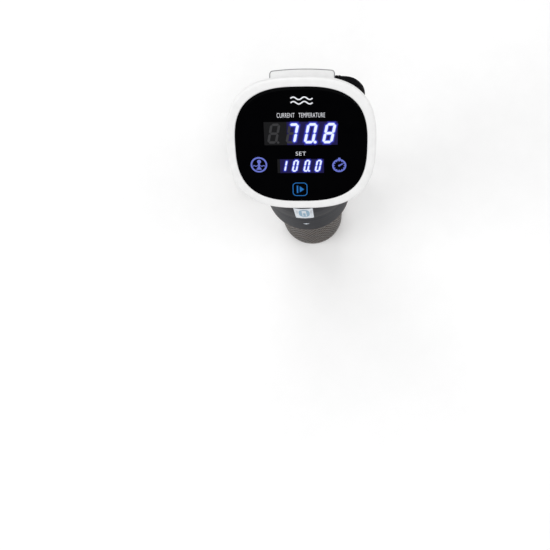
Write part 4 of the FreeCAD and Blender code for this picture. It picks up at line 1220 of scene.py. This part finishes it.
tie_outer = eased([(24.2, 0.05, 1.5), (48.8, 0.05, 1.5), (48.8, 14.9, 4.5), (24.2, 14.9, 4.5)], 6)
tie_inner = eased([(25.4, 0.15, 0.9), (47.6, 0.15, 0.9), (47.6, 13.7, 3.9), (25.4, 13.7, 3.9)], 6)
tie_edges = ((tie_outer, -4.0), (tie_outer, 4.0), (tie_inner, 4.5), (tie_inner, -4.5))
tie_points, tie_faces = swept([[tie_point(p.x, p.y, along) * MM for p in loop]
                               for loop, along in tie_edges])
tie = piece("hook_and_loop_tie", tie_points, [f[::-1] for f in tie_faces],
            black_rubber)
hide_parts("cord_tie")
print("tie:", len(tie.data.polygons), "faces")

# %% [markdown]
# ## Table and light
# A pale table and large soft lights, as in a studio, with a bright world to fill the
# shadows.

# %% Floor
FLOOR_SIZE, FLOOR_CELLS, FLOOR_DROP = 3.0, 40, 0.0002


def floor_mesh():
    """A flat pale table top, a hair under the foot."""
    ends = [FLOOR_SIZE * (i / FLOOR_CELLS - 0.5) for i in range(FLOOR_CELLS + 1)]
    mesh = bpy.data.meshes.new("table_top")
    mesh.from_pydata([(x, y, -FLOOR_DROP) for y in ends for x in ends], [],
                     sheet(len(ends), len(ends)))
    return linked("table_top", mesh)


table_finish = finish("pale_table", (246, 246, 246), (250, 250, 250), (0.6, 0.7),
                      grain=30, bump=0.0)
table_top = floor_mesh()
table_top.data.materials.append(table_finish)
print("table:", FLOOR_SIZE, "m wide")

# %% [markdown]
# ### Lights
# A small lamp would burn spots into the glass. Four panels about a metre wide, each aimed at
# the middle of the object, light the white head evenly, and the rear one gives the stem its
# long soft shine. One number sets them all brighter or dimmer.

# %% Lights
LAMP_LEVEL = 0.72


def panel_light(name, place, target, size, power):
    """A large soft light that looks at a point."""
    data = bpy.data.lights.new(name, "AREA")
    data.shape = "RECTANGLE"
    data.size, data.size_y = size
    data.energy = power * LAMP_LEVEL
    lamp = linked(name, data)
    lamp.location = place
    lamp.rotation_euler = (Vector(target) - Vector(place)).to_track_quat("-Z", "Y").to_euler()


middle = (0.0, 0.0, 0.25)
panel_light("rear_panel", (-0.3, 1.1, 1.5), middle, (1.4, 1.0), 14)
panel_light("front_panel", (0.1, -0.9, 1.7), middle, (1.4, 0.9), 10)
panel_light("left_panel", (-1.3, -0.4, 1.2), middle, (1.0, 1.0), 12)
panel_light("right_panel", (1.3, -0.2, 1.0), middle, (1.0, 1.0), 8)
world = bpy.data.worlds.new("studio")
world.use_nodes = True
sky = world.node_tree.nodes["Background"]
sky.inputs["Color"].default_value = (1.0, 1.0, 1.0, 1.0)
sky.inputs["Strength"].default_value = 0.5
bpy.context.scene.world = world
bpy.context.scene.view_settings.view_transform = "Standard"

# %% [markdown]
# ## Last update
# The view layer is updated once more, so every piece stands in its place.

# %% Update the view layer
bpy.context.view_layer.update()
